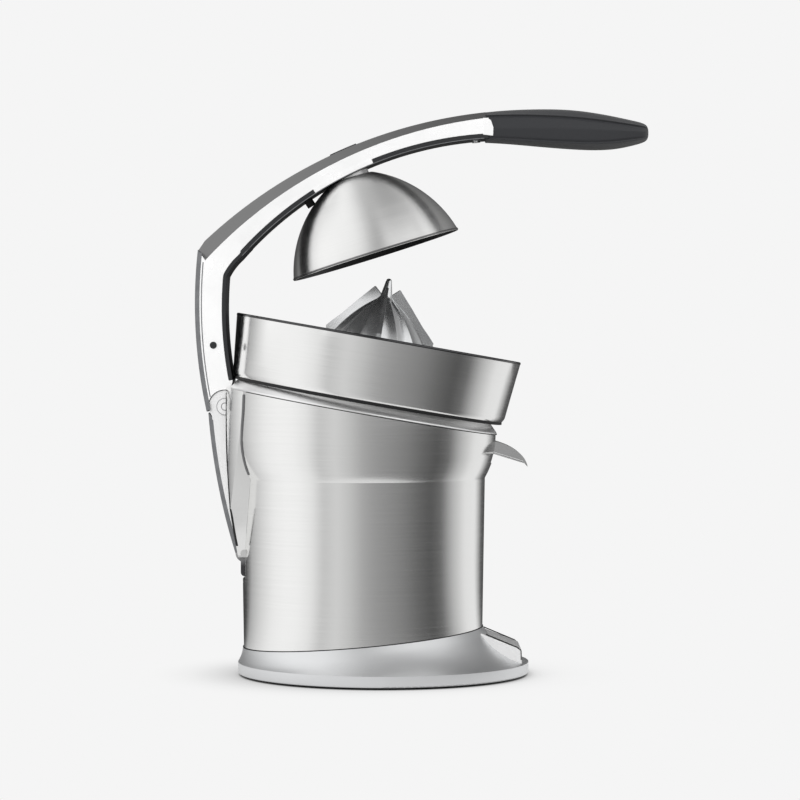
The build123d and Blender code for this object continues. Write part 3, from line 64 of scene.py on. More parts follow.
# Floor: a pale seamless sheet. The camera and the metal see it at the backdrop's own white,
# darker only where the foot of the press shuts out the light.


def linear(code):
    """An sRGB hex colour as the linear values that the nodes take."""
    parts = [int(code[i:i + 2], 16) / 255 for i in (1, 3, 5)]
    return [p / 12.92 if p <= 0.04045 else ((p + 0.055) / 1.055) ** 2.4 for p in parts] + [1.0]


def put(tree, kind, inputs=None, **settings):
    """Add one node. Settings are its properties; inputs are socket values, or the sockets that feed them."""
    made = tree.nodes.new(kind)
    for key, value in settings.items():
        setattr(made, key, value)
    for key, value in (inputs or {}).items():
        if isinstance(value, bpy.types.NodeSocket):
            tree.links.new(value, made.inputs[key])
        else:
            made.inputs[key].default_value = value
    return made


def reckon(tree, operation, *values, **settings):
    """One step of arithmetic: returns the socket of its result."""
    return put(tree, "ShaderNodeMath", dict(enumerate(values)), operation=operation, **settings).outputs[0]


def ramp(tree, share, points):
    """A colour ramp with stops at (place, grey or colour) pairs: returns the socket of its colour."""
    made = put(tree, "ShaderNodeValToRGB", {"Fac": share})
    marks = made.color_ramp.elements
    while len(marks) > 1:
        marks.remove(marks[-1])
    for number, (place, value) in enumerate(points):
        mark = marks[0] if number == 0 else marks.new(place)
        mark.position = place
        mark.color = value if isinstance(value, list) else (value, value, value, 1)
    return made.outputs["Color"]


backdrop = linear("#F5F5F5")
floor_reach = 9
shadow_reach = 70 * mm
shadow_tones = [(0.14, "#3A3A3A"), (0.34, "#9A9A9A"), (0.62, "#D2D2D2"), (0.86, "#EFEFEF"), (0.985, "#F5F5F5")]
floor_mesh = bpy.data.meshes.new("floor")
floor_corners = [(x * floor_reach, y * floor_reach, 0) for x, y in ((-1, -1), (1, -1), (1, 1), (-1, 1))]
floor_mesh.from_pydata(floor_corners, [], [(0, 1, 2, 3)])
floor = bpy.data.objects.new("floor", floor_mesh)
scene.collection.objects.link(floor)
floor_paper = bpy.data.materials.new("seamless_paper")
floor_paper.use_nodes = True
tree = floor_paper.node_tree
tree.nodes.clear()
shade = put(tree, "ShaderNodeAmbientOcclusion", {"Distance": shadow_reach}, samples=12)
fade = ramp(tree, shade.outputs["AO"], [(place, linear(colour)) for place, colour in shadow_tones])
seen = put(tree, "ShaderNodeEmission", {"Color": fade, "Strength": 1.0})
lit = put(tree, "ShaderNodeBsdfDiffuse", {"Color": linear("#E4E4E4")})
rays = put(tree, "ShaderNodeLightPath")
direct = reckon(tree, "ADD", rays.outputs["Is Camera Ray"], rays.outputs["Is Glossy Ray"], use_clamp=True)
direct = reckon(tree, "ADD", direct, rays.outputs["Is Transmission Ray"], use_clamp=True)
both = put(tree, "ShaderNodeMixShader", {"Fac": direct, 1: lit.outputs[0], 2: seen.outputs[0]})
put(tree, "ShaderNodeOutputMaterial", {"Surface": both.outputs[0]})
floor_mesh.materials.append(floor_paper)

# Light tent: a round wall of soft panels about the press, bright to the left and right of the camera,
# with a dark card between them on the right. A second row of panels above the bowl lights the dome and
# the cone, under a ceiling that fades to the right. The camera doesn't see the tent.


def ranged(tree, value, low, high, to_low=0.0, to_high=1.0):
    """A value's place between two limits, as a value between two others: returns its socket."""
    limits = {"From Min": low, "From Max": high, "To Min": to_low, "To Max": to_high}
    return put(tree, "ShaderNodeMapRange", {"Value": value, **limits}).outputs[0]


def blend(tree, share, first, second):
    """A mix of two colours: returns its socket."""
    return put(tree, "ShaderNodeMix", {0: share, 6: first, 7: second}, data_type="RGBA").outputs[2]


tent_radius, tent_height, tent_hole, tent_peak = 0.95, 1.7, 0.19, 0.001
tent_lift, tent_sides, tent_full = 0.002, 96, 1.2
upper_from, upper_full = 0.235, 0.29
ceiling_from, ceiling_full = 0.75 * tent_height, 0.99 * tent_height
tent_panels = [  # degrees from the camera, and glow
    (-180, 0.05), (-142, 0.06), (-134, 0.22), (-128, 0.46), (-106, 0.80), (-88, 1.03), (-73, 1.10), (-59, 1.08),
    (-46, 0.96), (-35, 0.66), (-22, 0.78), (-10, 0.64), (1, 0.46), (12, 0.37), (36, 0.25), (50, 0.16),
    (64, 0.10), (76, 0.17), (90, 0.56), (108, 0.92), (128, 0.96), (137, 0.50), (147, 0.10), (180, 0.05),
]
tent_upper = [
    (-180, 0.08), (-150, 0.09), (-130, 0.26), (-114, 0.60), (-95, 1.20), (-70, 1.12), (-36, 1.06), (-18, 0.84),
    (-6, 0.34), (3, 0.40), (13, 1.0), (40, 1.14), (58, 1.12), (70, 0.9), (84, 1.2), (98, 0.70), (113, 0.34),
    (150, 0.17), (180, 0.08),
]
tent_ceiling = [  # metres from left to right, and glow
    (-0.9, 1.15), (-0.6, 0.95), (-0.3, 0.62), (0.0, 0.42), (0.35, 0.22), (0.6, 0.30), (0.9, 0.6),
]
tent_mesh = bpy.data.meshes.new("light_tent")
tent_turns = [2 * pi * i / tent_sides for i in range(tent_sides)]
tent_rings = [
    (tent_hole, tent_lift), (tent_radius, tent_lift), (tent_radius, tent_height), (tent_peak, tent_height),
]
tent_points = [(reach * sin(a), -reach * cos(a), level) for reach, level in tent_rings for a in tent_turns]
tent_faces = []
for row in range(len(tent_rings) - 1):
    start = row * tent_sides
    for i in range(tent_sides):
        j = (i + 1) % tent_sides
        tent_faces.append((start + i, start + j, start + tent_sides + j, start + tent_sides + i))
tent_mesh.from_pydata(tent_points, [], tent_faces)
tent = bpy.data.objects.new("light_tent", tent_mesh)
tent.visible_camera = False
tent.visible_shadow = False
scene.collection.objects.link(tent)
tent_cloth = bpy.data.materials.new("tent_cloth")
tent_cloth.use_nodes = True
tree = tent_cloth.node_tree
tree.nodes.clear()
where = put(tree, "ShaderNodeTexCoord")
split = put(tree, "ShaderNodeSeparateXYZ", {0: where.outputs["Object"]})
towards = reckon(tree, "MULTIPLY", split.outputs["Y"], -1.0)
around = ranged(tree, reckon(tree, "ARCTAN2", split.outputs["X"], towards), -pi, pi)
lower, upper = (
    ramp(tree, around, [((angle + 180) / 360, min(1.0, glow / tent_full)) for angle, glow in panels])
    for panels in (tent_panels, tent_upper)
)
wall = blend(tree, ranged(tree, split.outputs["Z"], upper_from, upper_full), lower, upper)
across = ranged(tree, split.outputs["X"], -tent_radius, tent_radius)
ceiling_stops = [((x + tent_radius) / (2 * tent_radius), glow / tent_full) for x, glow in tent_ceiling]
ceiling = ramp(tree, across, ceiling_stops)
inner = blend(tree, ranged(tree, split.outputs["Z"], ceiling_from, ceiling_full), wall, ceiling)
cloth = put(tree, "ShaderNodeEmission", {"Color": inner, "Strength": tent_full})
put(tree, "ShaderNodeOutputMaterial", {"Surface": cloth.outputs[0]})
tent_mesh.materials.append(tent_cloth)

# Backdrop and key lamp: the world is the same white as the floor, and one large soft lamp
# from the upper left lifts the painted and moulded pieces.
world = bpy.data.worlds.new("studio")
scene.world = world
world.use_nodes = True
tree = world.node_tree
tree.nodes.clear()
sky = put(tree, "ShaderNodeBackground", {"Color": backdrop, "Strength": 1.0})
put(tree, "ShaderNodeOutputWorld", {"Surface": sky.outputs[0]})
key_size, key_watts = 1.6, 47
key_place, key_aim = Vector((-0.7, -2.3, 1.3)), Vector((0, 0, 0.2))
key_data = bpy.data.lights.new("key_lamp", "AREA")
key_data.shape = "RECTANGLE"
key_data.size, key_data.size_y = key_size, key_size
key_data.energy = key_watts
key = bpy.data.objects.new("key_lamp", key_data)
key.location = key_place
key.rotation_euler = (key_aim - key_place).to_track_quat("-Z", "Y").to_euler()
key.visible_glossy = False
scene.collection.objects.link(key)

# Foot ring: one moulded ring of black rubber let into the base, dull, with a fine pebbled skin.
# The shaft seal, the bumper under the arm and the cord gland are of the same rubber.


def finish_of(name, inputs=None):
    """A new material with a Principled shader: returns the material, its tree and the shader."""
    made = bpy.data.materials.new(name)
    made.use_nodes = True
    made.node_tree.nodes.clear()
    shader = put(made.node_tree, "ShaderNodeBsdfPrincipled", inputs)
    put(made.node_tree, "ShaderNodeOutputMaterial", {"Surface": shader.outputs[0]})
    return made, made.node_tree, shader


def mottle(tree, size, detail=2.0):
    """Noise with patches of so many mm, fixed to the piece: returns its socket."""
    where = put(tree, "ShaderNodeTexCoord")
    settings = {"Vector": where.outputs["Object"], "Scale": 1 / (size * mm), "Detail": detail}
    return put(tree, "ShaderNodeTexNoise", settings).outputs["Fac"]


def raised(tree, shader, pattern, depth, strength):
    """Let a pattern stand out of the skin by so many mm."""
    lift = put(tree, "ShaderNodeBump", {"Strength": strength, "Distance": depth * mm, "Height": pattern})
    tree.links.new(lift.outputs[0], shader.inputs["Normal"])


def wear(nodes, material):
    """Give CAD nodes a material."""
    for node in nodes.split():
        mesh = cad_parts[node].data
        mesh.materials.clear()
        mesh.materials.append(material)


foot_rubber, tree, shader = finish_of("moulded_rubber", {"Base Color": linear("#0C0C0D"), "Roughness": 0.72})
raised(tree, shader, mottle(tree, 0.8), 0.1, 0.25)
wear("foot_ring shaft_seal bumper cord_gland", foot_rubber)

# Base: an aluminium die casting, blasted and clear coated, so satin and almost without grain.
# It stands on the foot ring and is screwed to the bottom plate. The gearbox is cast of the same metal.


def polished(tree, shader, pattern, low, high):
    """Let the roughness wander between two values with a pattern."""
    tree.links.new(ranged(tree, pattern, 0.0, 1.0, low, high), shader.inputs["Roughness"])


def smooth_by_angle(form, least):
    """Smooth shading, with the edges that turn by so many degrees or more left sharp."""
    for face in form.faces:
        face.smooth = True
    for edge in form.edges:
        edge.smooth = len(edge.link_faces) == 2 and edge.calc_face_angle(pi) < radians(least)


def piece_from(form, name, material=None):
    """A new object with the faces of a bmesh, which is freed."""
    mesh = bpy.data.meshes.new(name)
    form.to_mesh(mesh)
    form.free()
    if material:
        mesh.materials.append(material)
    piece = bpy.data.objects.new(name, mesh)
    scene.collection.objects.link(piece)
    return piece


def soften(piece, rounding, segments, least):
    """Round a piece's edges by so many mm where they turn by so many degrees or more."""
    bevel = piece.modifiers.new("rounding", "BEVEL")
    bevel.width = rounding * mm
    bevel.segments = segments
    bevel.limit_method = "ANGLE"
    bevel.angle_limit = radians(least)
    bevel.harden_normals = True


def dress(node, body, material, rounding):
    """A piece that stands for a CAD node: its loose triangles welded into one skin, its edges rounded by so
    many mm.
    """
    weld, sharp, rounded = 0.003 * mm, 20, 24
    skin = bmesh.new()
    skin.from_mesh(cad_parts[node].data)
    bmesh.ops.remove_doubles(skin, verts=skin.verts, dist=weld)
    smooth_by_angle(skin, sharp)
    piece = piece_from(skin, node + "_finish", material)
    if "custom_normal" in piece.data.attributes:
        piece.data.attributes.remove(piece.data.attributes["custom_normal"])
    soften(piece, rounding, 3, rounded)
    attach(piece, body)
    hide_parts(node)


base_metal, tree, shader = finish_of("blasted_aluminium", {"Base Color": linear("#E2E3E4"), "Metallic": 1.0})
polished(tree, shader, mottle(tree, 35), 0.37, 0.47)
raised(tree, shader, mottle(tree, 0.6, 3.0), 0.05, 0.08)
dress("base_casting", "housing", base_metal, 2.4)
wear("gearbox_cover gearbox_housing", base_metal)

# Seam of the base: a dark cord of the black rubber lies in the joint between the casting and the shell,
# along the slanting circle where they meet, as painted shadow for the gap of the seam.
sweep_tree = bpy.data.node_groups.new("sweep_along_path", "GeometryNodeTree")
sweep_tree.interface.new_socket("Geometry", in_out="INPUT", socket_type="NodeSocketGeometry")
sweep_sockets = {
    label: sweep_tree.interface.new_socket(label, in_out="INPUT", socket_type=kind).identifier
    for label, kind in (
        ("Width", "NodeSocketFloat"), ("Depth", "NodeSocketFloat"), ("Material", "NodeSocketMaterial")
    )
}
sweep_tree.interface.new_socket("Geometry", in_out="OUTPUT", socket_type="NodeSocketGeometry")
given = put(sweep_tree, "NodeGroupInput").outputs
section = put(sweep_tree, "GeometryNodeCurvePrimitiveQuadrilateral", {
    "Width": given["Width"], "Height": given["Depth"],
})
bar = put(sweep_tree, "GeometryNodeCurveToMesh", {
    "Curve": given["Geometry"], "Profile Curve": section.outputs[0], "Fill Caps": True,
})
real = put(sweep_tree, "GeometryNodeRealizeInstances", {"Geometry": bar.outputs[0]})
faced = put(sweep_tree, "GeometryNodeSetMaterial", {"Geometry": real.outputs[0], "Material": given["Material"]})
put(sweep_tree, "NodeGroupOutput", {0: faced.outputs[0]})


def plain_mesh(maker, name):
    """The result of an object's modifiers as a plain mesh piece, faces outwards. The maker is removed."""
    weld, sharp = 0.001 * mm, 32
    now = bpy.context.evaluated_depsgraph_get()
    mesh = bpy.data.meshes.new_from_object(maker.evaluated_get(now), depsgraph=now)
    maker.modifiers.clear()
    bpy.data.objects.remove(maker)
    form = bmesh.new()
    form.from_mesh(mesh)
    bmesh.ops.remove_doubles(form, verts=form.verts, dist=weld)
    bmesh.ops.recalc_face_normals(form, faces=form.faces)
    smooth_by_angle(form, sharp)
    form.to_mesh(mesh)
    form.free()
    mesh.name = name
    piece = bpy.data.objects.new(name, mesh)
    scene.collection.objects.link(piece)
    return piece


def swept(name, paths, width, depth, material, body, closed=False, rounding=0.12):
    """A bar along each path of (x, y, z) points in mm: so wide across the side plane, so deep in it."""
    line = bpy.data.curves.new(name + "_path", "CURVE")
    line.dimensions = "3D"
    for path in paths:
        spline = line.splines.new("POLY")
        spline.points.add(len(path) - 1)
        spline.use_cyclic_u = closed
        for point, spot in zip(spline.points, path):
            point.co = (spot[0] * mm, spot[1] * mm, spot[2] * mm, 1)
    maker = bpy.data.objects.new(name + "_path", line)
    scene.collection.objects.link(maker)
    step = maker.modifiers.new("sweep", "NODES")
    step.node_group = sweep_tree
    step[sweep_sockets["Width"]] = width * mm
    step[sweep_sockets["Depth"]] = depth * mm
    step[sweep_sockets["Material"]] = material
    piece = plain_mesh(maker, name)
    soften(piece, rounding, 2, 34)
    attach(piece, body)


seam_radius, seam_height, seam_rise = 87.3, 27.7, sin(radians(5))
turns = [2 * pi * i / 180 for i in range(180)]
base_seam = [
    (seam_radius * cos(a), seam_radius * sin(a), seam_height + seam_radius * cos(a) * seam_rise) for a in turns
]
# Painted shadow: the dark cord along the base seam stands for the shade in its gap.
swept("base_gasket", [base_seam], 0.8, 0.8, foot_rubber, "housing", closed=True)

# Front ramp: a polished wedge on the flare of the base, under the spout, where the glass stands.
# A thin black line edges it on both sides.


def tinted(tree, shader, pattern, *tones):
    """Let the colour wander with a pattern, through (place, hex colour) pairs: returns its socket."""
    tint = ramp(tree, pattern, [(place, linear(colour)) for place, colour in tones])
    tree.links.new(tint, shader.inputs["Base Color"])
    return tint


def both_sides(path):
    """A path and its mirror image across the middle plane."""
    return [path, [(x, -y, z) for x, y, z in path]]


ramp_metal, tree, shader = finish_of("polished_ramp", {"Metallic": 0.3})
cloud = mottle(tree, 22, 3.0)
tinted(tree, shader, cloud, (0.3, "#E6E6E6"), (0.7, "#F0F0F0"))
polished(tree, shader, cloud, 0.25, 0.35)
dress("front_ramp", "housing", ramp_metal, 0.6)
ramp_edge = [(89.0, 27.7, 31.4), (111.5, 27.7, 22.0), (114.3, 27.7, 19.8), (114.5, 27.7, 13.0)]
swept("ramp_edge", both_sides(ramp_edge), 0.8, 0.8, foot_rubber, "housing")

# Bottom plate: pressed sheet steel with a dark powder coat, held from below by four screws.
# The motor can and the switch bracket are coated alike.
plate_paint, tree, shader = finish_of("powder_coat", {"Base Color": linear("#3C3D3F"), "Roughness": 0.55})
raised(tree, shader, mottle(tree, 1.2), 0.08, 0.2)
wear("base_plate motor_can switch_bracket", plate_paint)

# Body shell: drawn stainless steel that stands on the base, brushed round the body,
# so that every light shows as an upright band.


def brushed(name, colour, rough, lean=0.0, grit=0.9, across="Z", shine=0.0, turn=0.0):
    """Stainless steel drawn past a belt: scratches along the surface, at right angles to one local axis.

    Grit is the spacing of the scratches in mm, drawn coarser than the real 0.1 mm so that they show."""
    scratch_length, darker = 90, 0.95
    made, tree, shader = finish_of(name, {
        "Metallic": 1.0, "Anisotropic": shine, "Anisotropic Rotation": turn,
    })
    where = put(tree, "ShaderNodeTexCoord")
    fine, slow = 1 / (grit * mm), 1 / (scratch_length * mm)
    stretch = {"X": (fine, slow, slow), "Y": (slow, fine, slow), "Z": (slow, slow, fine)}[across]
    turned = put(tree, "ShaderNodeMapping", {
        "Vector": where.outputs["Object"], "Rotation": (0, radians(lean), 0),
    })
    drawn = put(tree, "ShaderNodeMapping", {"Vector": turned.outputs[0], "Scale": stretch})
    lines = put(tree, "ShaderNodeTexNoise", {
        "Vector": drawn.outputs[0], "Scale": 1.0, "Detail": 5.0, "Roughness": 0.7,
    }).outputs["Fac"]
    light = linear(colour)
    tint = ramp(tree, lines, [(0.28, [c * darker for c in light[:3]] + [1]), (0.72, light)])
    tree.links.new(tint, shader.inputs["Base Color"])
    tree.links.new(ranged(tree, lines, 0.3, 0.7, rough - 0.05, rough + 0.06), shader.inputs["Roughness"])
    raised(tree, shader, lines, 0.05, 0.03)
    return made


shell_steel = brushed("steel_brushed_round", "#E8E8E7", 0.16)
dress("body_shell", "housing", shell_steel, 0.35)

# Rear housing: the same sheet formed into two cheeks that guard the hinge link,
# with the pin of the link's foot between them.
cheek_steel = brushed("steel_brushed_cheeks", "#E8E8E7", 0.18)
dress("rear_housing", "housing", cheek_steel, 0.5)
dress("hinge_pin", "housing", cheek_steel, 0.2)

# Joint of the housing: a grey cord along each side of the swelling against the shell is painted shadow for the
# seam there, and a black strip along the back edge of each cheek is painted shadow for the gap of the channel.
# Painted shadow: a grey cord lies along each joint of the swelling and the shell, where the seam's shade falls.
painted_shadow_grey, tree, shader = finish_of("grey_painted_shadow", {"Base Color": linear("#5C5C5D"), "Roughness": 0.6})
shadow_line_path = [
    (-84.2, 48.9, 205), (-84.7, 48.1, 194), (-85.6, 46.4, 182), (-86.0, 45.2, 170), (-85.5, 44.4, 164),
    (-84.4, 43.3, 158), (-82.9, 41.8, 152), (-81.0, 40.5, 147),
]
swept("housing_cord", both_sides(shadow_line_path), 2.2, 2.2, painted_shadow_grey, "housing", rounding=0.8)
# Painted shadow: a strip of the black rubber along the back edge of each cheek darkens the gap of the channel.
cheek_shadow_path = [
    (-90.6, 24.2, 95), (-92.2, 27.4, 104), (-93.8, 31.0, 116), (-94.7, 32.4, 122), (-95.7, 30.4, 134),
    (-96.6, 28.0, 146), (-97.3, 26.2, 156), (-97.8, 24.8, 168), (-98.0, 23.6, 180), (-98.0, 23.4, 192),
    (-97.9, 23.6, 206),
]
swept("cheek_lip", both_sides(cheek_shadow_path), 1.6, 1.5, foot_rubber, "housing", rounding=0.5)

# Top collar: a satin steel ring that closes the shell along the sloping seam under the bowl.
# A fine dark cord lies where it stands on the shell, from cheek to cheek, painted shadow for the seam's gap.
collar_steel = brushed("steel_brushed_collar", "#F2F2F2", 0.38, lean=-10, grit=1.2)
dress("top_collar", "housing", collar_steel, 0.5)
collar_radius, collar_middle, collar_height = 97.55, 2.2, 191.7
collar_fall = sin(radians(10)) / cos(radians(10))
collar_seam = []
for i in range(151):
    a = radians(-148 + 296 * i / 150)
    x = collar_radius * cos(a)
    collar_seam.append((x, collar_radius * sin(a), collar_height - (x - collar_middle) * collar_fall))
# Painted shadow: the fine dark cord along the collar seam stands for the shade in its gap.
swept("collar_gasket", [collar_seam], 0.5, 0.5, foot_rubber, "housing")

# Deck: a moulding of grey polypropylene that carries the drive inside the shell,
# with a spark-eroded grain.
inner_plastic, tree, shader = finish_of("grained_polypropylene", {
    "Base Color": linear("#55565A"), "Roughness": 0.5,
})
raised(tree, shader, mottle(tree, 0.7), 0.06, 0.15)
wear("deck", inner_plastic)

# Drive: acetal gears, sintered bronze bushes, a laminated iron core and a phenolic switch,
# all inside the body.
acetal, tree, shader = finish_of("moulded_acetal", {"Base Color": linear("#DEDBD2"), "Roughness": 0.42})
raised(tree, shader, mottle(tree, 9), 0.1, 0.1)
wear("output_gear idler_gear plunger", acetal)
bronze, tree, shader = finish_of("sintered_bronze", {"Base Color": linear("#C9A15A"), "Metallic": 1.0})
where = put(tree, "ShaderNodeTexCoord")
pores = put(tree, "ShaderNodeTexVoronoi", {"Vector": where.outputs["Object"], "Scale": 1 / (0.5 * mm)})
polished(tree, shader, pores.outputs["Distance"], 0.5, 0.32)
wear("bush_upper bush_lower motor_bush_upper motor_bush_lower motor_pinion", bronze)
core, tree, shader = finish_of("laminated_iron", {"Metallic": 1.0, "Roughness": 0.5})
where = put(tree, "ShaderNodeTexCoord")
sheets = put(tree, "ShaderNodeTexWave", {
    "Vector": where.outputs["Object"], "Scale": 1 / (3 * mm),
}, bands_direction="Z")
tinted(tree, shader, sheets.outputs["Fac"], (0.2, "#4A4A4C"), (0.8, "#77777A"))
wear("stator rotor", core)
switch_case, tree, shader = finish_of("glossy_phenolic", {"Base Color": linear("#1D1D1F")})
polished(tree, shader, mottle(tree, 4), 0.22, 0.34)
wear("microswitch", switch_case)

# Juice bowl: spun stainless steel, brushed round its own leaning axis inside and out,
# with a rolled rim, whose steel is painted dark grey for the dark reflection along its top.
bowl_steel = brushed("steel_brushed_bowl", "#E8E8E7", 0.15, lean=-10)
dress("bowl", "housing", bowl_steel, 0.5)


def leaning_circle(centre, across, radius):
    """Points of a circle about a centre, through the direction across and the Y axis."""
    return [centre + radius * (cos(a) * across + Vector((0, sin(a), 0))) for a in turns]


rim_centre, rim_lean = Vector((11.65, 0, 245.27)), radians(10)
rim_x, rim_axis = Vector((cos(rim_lean), 0, -sin(rim_lean))), Vector((sin(rim_lean), 0, cos(rim_lean)))
rim_radius, rim_sink = 104.0, 0.7
rim_circle = leaning_circle(rim_centre - rim_sink * rim_axis, rim_x, rim_radius)
# Painted reflection: the rim's steel is dark grey, standing for the dark that its rolled top reflects.
rim_painted_dark = brushed("steel_rim_painted_dark", "#4E4E4F", 0.2, lean=-10)
swept(
    "bowl_rolled_rim", [rim_circle], 2.2, 2.2, rim_painted_dark, "housing", closed=True, rounding=0.9
)

# Bowl groove: a ring of black rubber, pressed into the groove between the foot of the bowl
# and the collar, painted shadow for the dark line of that groove.
# Painted shadow: a black ring lies in the groove where the junction's shade falls.
shadow_ring_drop, shadow_ring_radius = 45.9, 97.8
shadow_ring_circle = leaning_circle(rim_centre - shadow_ring_drop * rim_axis, rim_x, shadow_ring_radius)
swept("bowl_seal", [shadow_ring_circle], 2.4, 2.4, foot_rubber, "housing", closed=True, rounding=0.5)

# Strainer: a punched stainless basket that lies in the bowl,
# brushed a little coarser than the bowl.
strainer_steel = brushed("steel_brushed_strainer", "#CFCFCF", 0.30, lean=-10, grit=1.4)
dress("strainer", "housing", strainer_steel, 0.2)

# Reamer cone: one stainless casting, polished bright, on the hexagon of the shaft. Fifteen hollow flutes
# run up to a spike, and every fifth ridge between them carries a tall thin fin.
cone_metal, tree, shader = finish_of("polished_stainless", {"Base Color": linear("#E4E5E6"), "Metallic": 0.93})
polished(tree, shader, mottle(tree, 9, 3.0), 0.20, 0.30)


def circle_through(a, b, c):
    """Centre and radius of the circle through three points of a plane."""
    ax, ay, bx, by, cx, cy = *a, *b, *c
    d = 2 * (ax * (by - cy) + bx * (cy - ay) + cx * (ay - by))
    aa, bb, cc = ax * ax + ay * ay, bx * bx + by * by, cx * cx + cy * cy
    x = (aa * (by - cy) + bb * (cy - ay) + cc * (ay - by)) / d
    y = (aa * (cx - bx) + bb * (ax - cx) + cc * (bx - ax)) / d
    return (x, y), ((ax - x) ** 2 + (ay - y) ** 2) ** 0.5


def lathe(name, profile):
    """A mesh turned about Z from (radius, height) pairs in mm that start and end on the axis."""
    steps, weld = 96, 0.001 * mm
    turned = bmesh.new()
    spots = [turned.verts.new((r * mm, 0, h * mm)) for r, h in profile]
    edges = [turned.edges.new(pair) for pair in zip(spots, spots[1:])]
    bmesh.ops.spin(turned, geom=spots + edges, axis=(0, 0, 1), cent=(0, 0, 0), angle=2 * pi, steps=steps)
    bmesh.ops.remove_doubles(turned, verts=turned.verts, dist=weld)
    bmesh.ops.recalc_face_normals(turned, faces=turned.faces)
    return piece_from(turned, name)


# In the cone's own frame, in mm: radius from the axis, and height over the plane of the bowl's rim.
fin_outline = [(1.8, 30), (10.6, 37), (22.6, 25.2), (34.2, 13.2), (39.7, 8.4), (45.4, 3), (44, -21), (1.8, -21)]
fin_half = [0.9, 0.9, 1.2, 1.5, 1.6, 1.7, 1.9, 1.9]
fin_points = [
    (side * half * mm, -r * mm, h * mm) for side in (-1, 1) for (r, h), half in zip(fin_outline, fin_half)
]
count = len(fin_outline)
fin_faces = [tuple(range(count)), tuple(range(2 * count - 1, count - 1, -1))]
fin_faces += [((i + 1) % count, i, count + i, count + (i + 1) % count) for i in range(count)]
fin_mesh = bpy.data.meshes.new("fin")
fin_mesh.from_pydata(fin_points, [], fin_faces)
fin = bpy.data.objects.new("fin", fin_mesh)
scene.collection.objects.link(fin)
spike = lathe("spike", [
    (0, 44), (1.0, 43.8), (1.8, 43.1), (2.2, 41.8), (3.9, 33.0), (4.4, 30.6), (5.6, 29.2),
    (7.4, 27.2), (0, 27.0),
])
underside = lathe("underside", [
    (0, -3), (22, -3), (22, -28), (46, -28), (46, -25.5), (44.2, -22), (40, -21.6), (0, -2),
])
flank_foot, flank_middle, flank_head = (44.0, -22.0), (25.6, 11.0), (6.0, 28.6)
(flank_r, flank_h), flank_curve = circle_through(flank_foot, flank_middle, flank_head)
flank_low, flank_high = (atan2(h - flank_h, r - flank_r) for r, h in (flank_foot, flank_head))
flute_columns, flute_rows, flute_fade = 361, 40, 0.2
cone_tree = bpy.data.node_groups.new("fluted_reamer", "GeometryNodeTree")
cone_sockets = {
    label: cone_tree.interface.new_socket(label, in_out="INPUT", socket_type=kind).identifier
    for label, kind in (
        ("Geometry", "NodeSocketGeometry"), ("Flutes", "NodeSocketInt"), ("Flute depth", "NodeSocketFloat"),
        ("Fins", "NodeSocketInt"), ("Fin", "NodeSocketObject"), ("Spike", "NodeSocketObject"),
        ("Underside", "NodeSocketObject"), ("Material", "NodeSocketMaterial"),
    )
}
cone_tree.interface.new_socket("Geometry", in_out="OUTPUT", socket_type="NodeSocketGeometry")
given = put(cone_tree, "NodeGroupInput").outputs
sheet = put(cone_tree, "GeometryNodeMeshGrid", {
    "Size X": 1.0, "Size Y": 1.0, "Vertices X": flute_columns, "Vertices Y": flute_rows,
})
spot = put(cone_tree, "GeometryNodeInputPosition")
spot = put(cone_tree, "ShaderNodeSeparateXYZ", {0: spot.outputs[0]}).outputs
turn = ranged(cone_tree, spot["X"], -0.5, 0.5, 0.0, 2 * pi)
climb = ranged(cone_tree, spot["Y"], -0.5, 0.5, flank_low, flank_high)
out_cos, out_sin = (reckon(cone_tree, operation, climb) for operation in ("COSINE", "SINE"))
radius = reckon(cone_tree, "MULTIPLY_ADD", out_cos, flank_curve * mm, flank_r * mm)
height = reckon(cone_tree, "MULTIPLY_ADD", out_sin, flank_curve * mm, flank_h * mm)
phase = reckon(cone_tree, "MULTIPLY", turn, reckon(cone_tree, "MULTIPLY", given["Flutes"], 0.5))
wave = reckon(cone_tree, "ABSOLUTE", reckon(cone_tree, "SINE", phase))
fade = ranged(cone_tree, spot["Y"], -0.5, 0.5, 1.0, flute_fade)
cut_in = reckon(cone_tree, "MULTIPLY", reckon(cone_tree, "MULTIPLY", wave, fade), given["Flute depth"])
radius = reckon(cone_tree, "SUBTRACT", radius, cut_in)
flat_x = reckon(cone_tree, "MULTIPLY", radius, reckon(cone_tree, "SINE", turn))
flat_y = reckon(cone_tree, "MULTIPLY", radius, reckon(cone_tree, "COSINE", turn))
flat_y = reckon(cone_tree, "MULTIPLY", flat_y, -1.0)
there = put(cone_tree, "ShaderNodeCombineXYZ", {0: flat_x, 1: flat_y, 2: height})
flutes = put(cone_tree, "GeometryNodeSetPosition", {
    "Geometry": sheet.outputs["Mesh"], "Position": there.outputs[0],
})
flutes = put(cone_tree, "GeometryNodeMergeByDistance", {
    "Geometry": flutes.outputs[0], "Distance": 0.002 * mm,
})
row = put(cone_tree, "GeometryNodeMeshLine", {"Count": given["Fins"], "Offset": (0, 0, 0)})
number = put(cone_tree, "GeometryNodeInputIndex")
pitch = reckon(cone_tree, "DIVIDE", 2 * pi, given["Fins"])
pitch = reckon(cone_tree, "MULTIPLY", pitch, number.outputs[0])
pitch = put(cone_tree, "ShaderNodeCombineXYZ", {2: pitch})
fin_shape, spike_shape, under_shape = (
    put(cone_tree, "GeometryNodeObjectInfo", {"Object": given[label]}).outputs["Geometry"]
    for label in ("Fin", "Spike", "Underside")
)
fins = put(cone_tree, "GeometryNodeInstanceOnPoints", {
    "Points": row.outputs[0], "Instance": fin_shape, "Rotation": pitch.outputs[0],
})
whole = put(cone_tree, "GeometryNodeJoinGeometry")
for shape in (flutes.outputs[0], fins.outputs[0], spike_shape, under_shape):
    cone_tree.links.new(shape, whole.inputs[0])
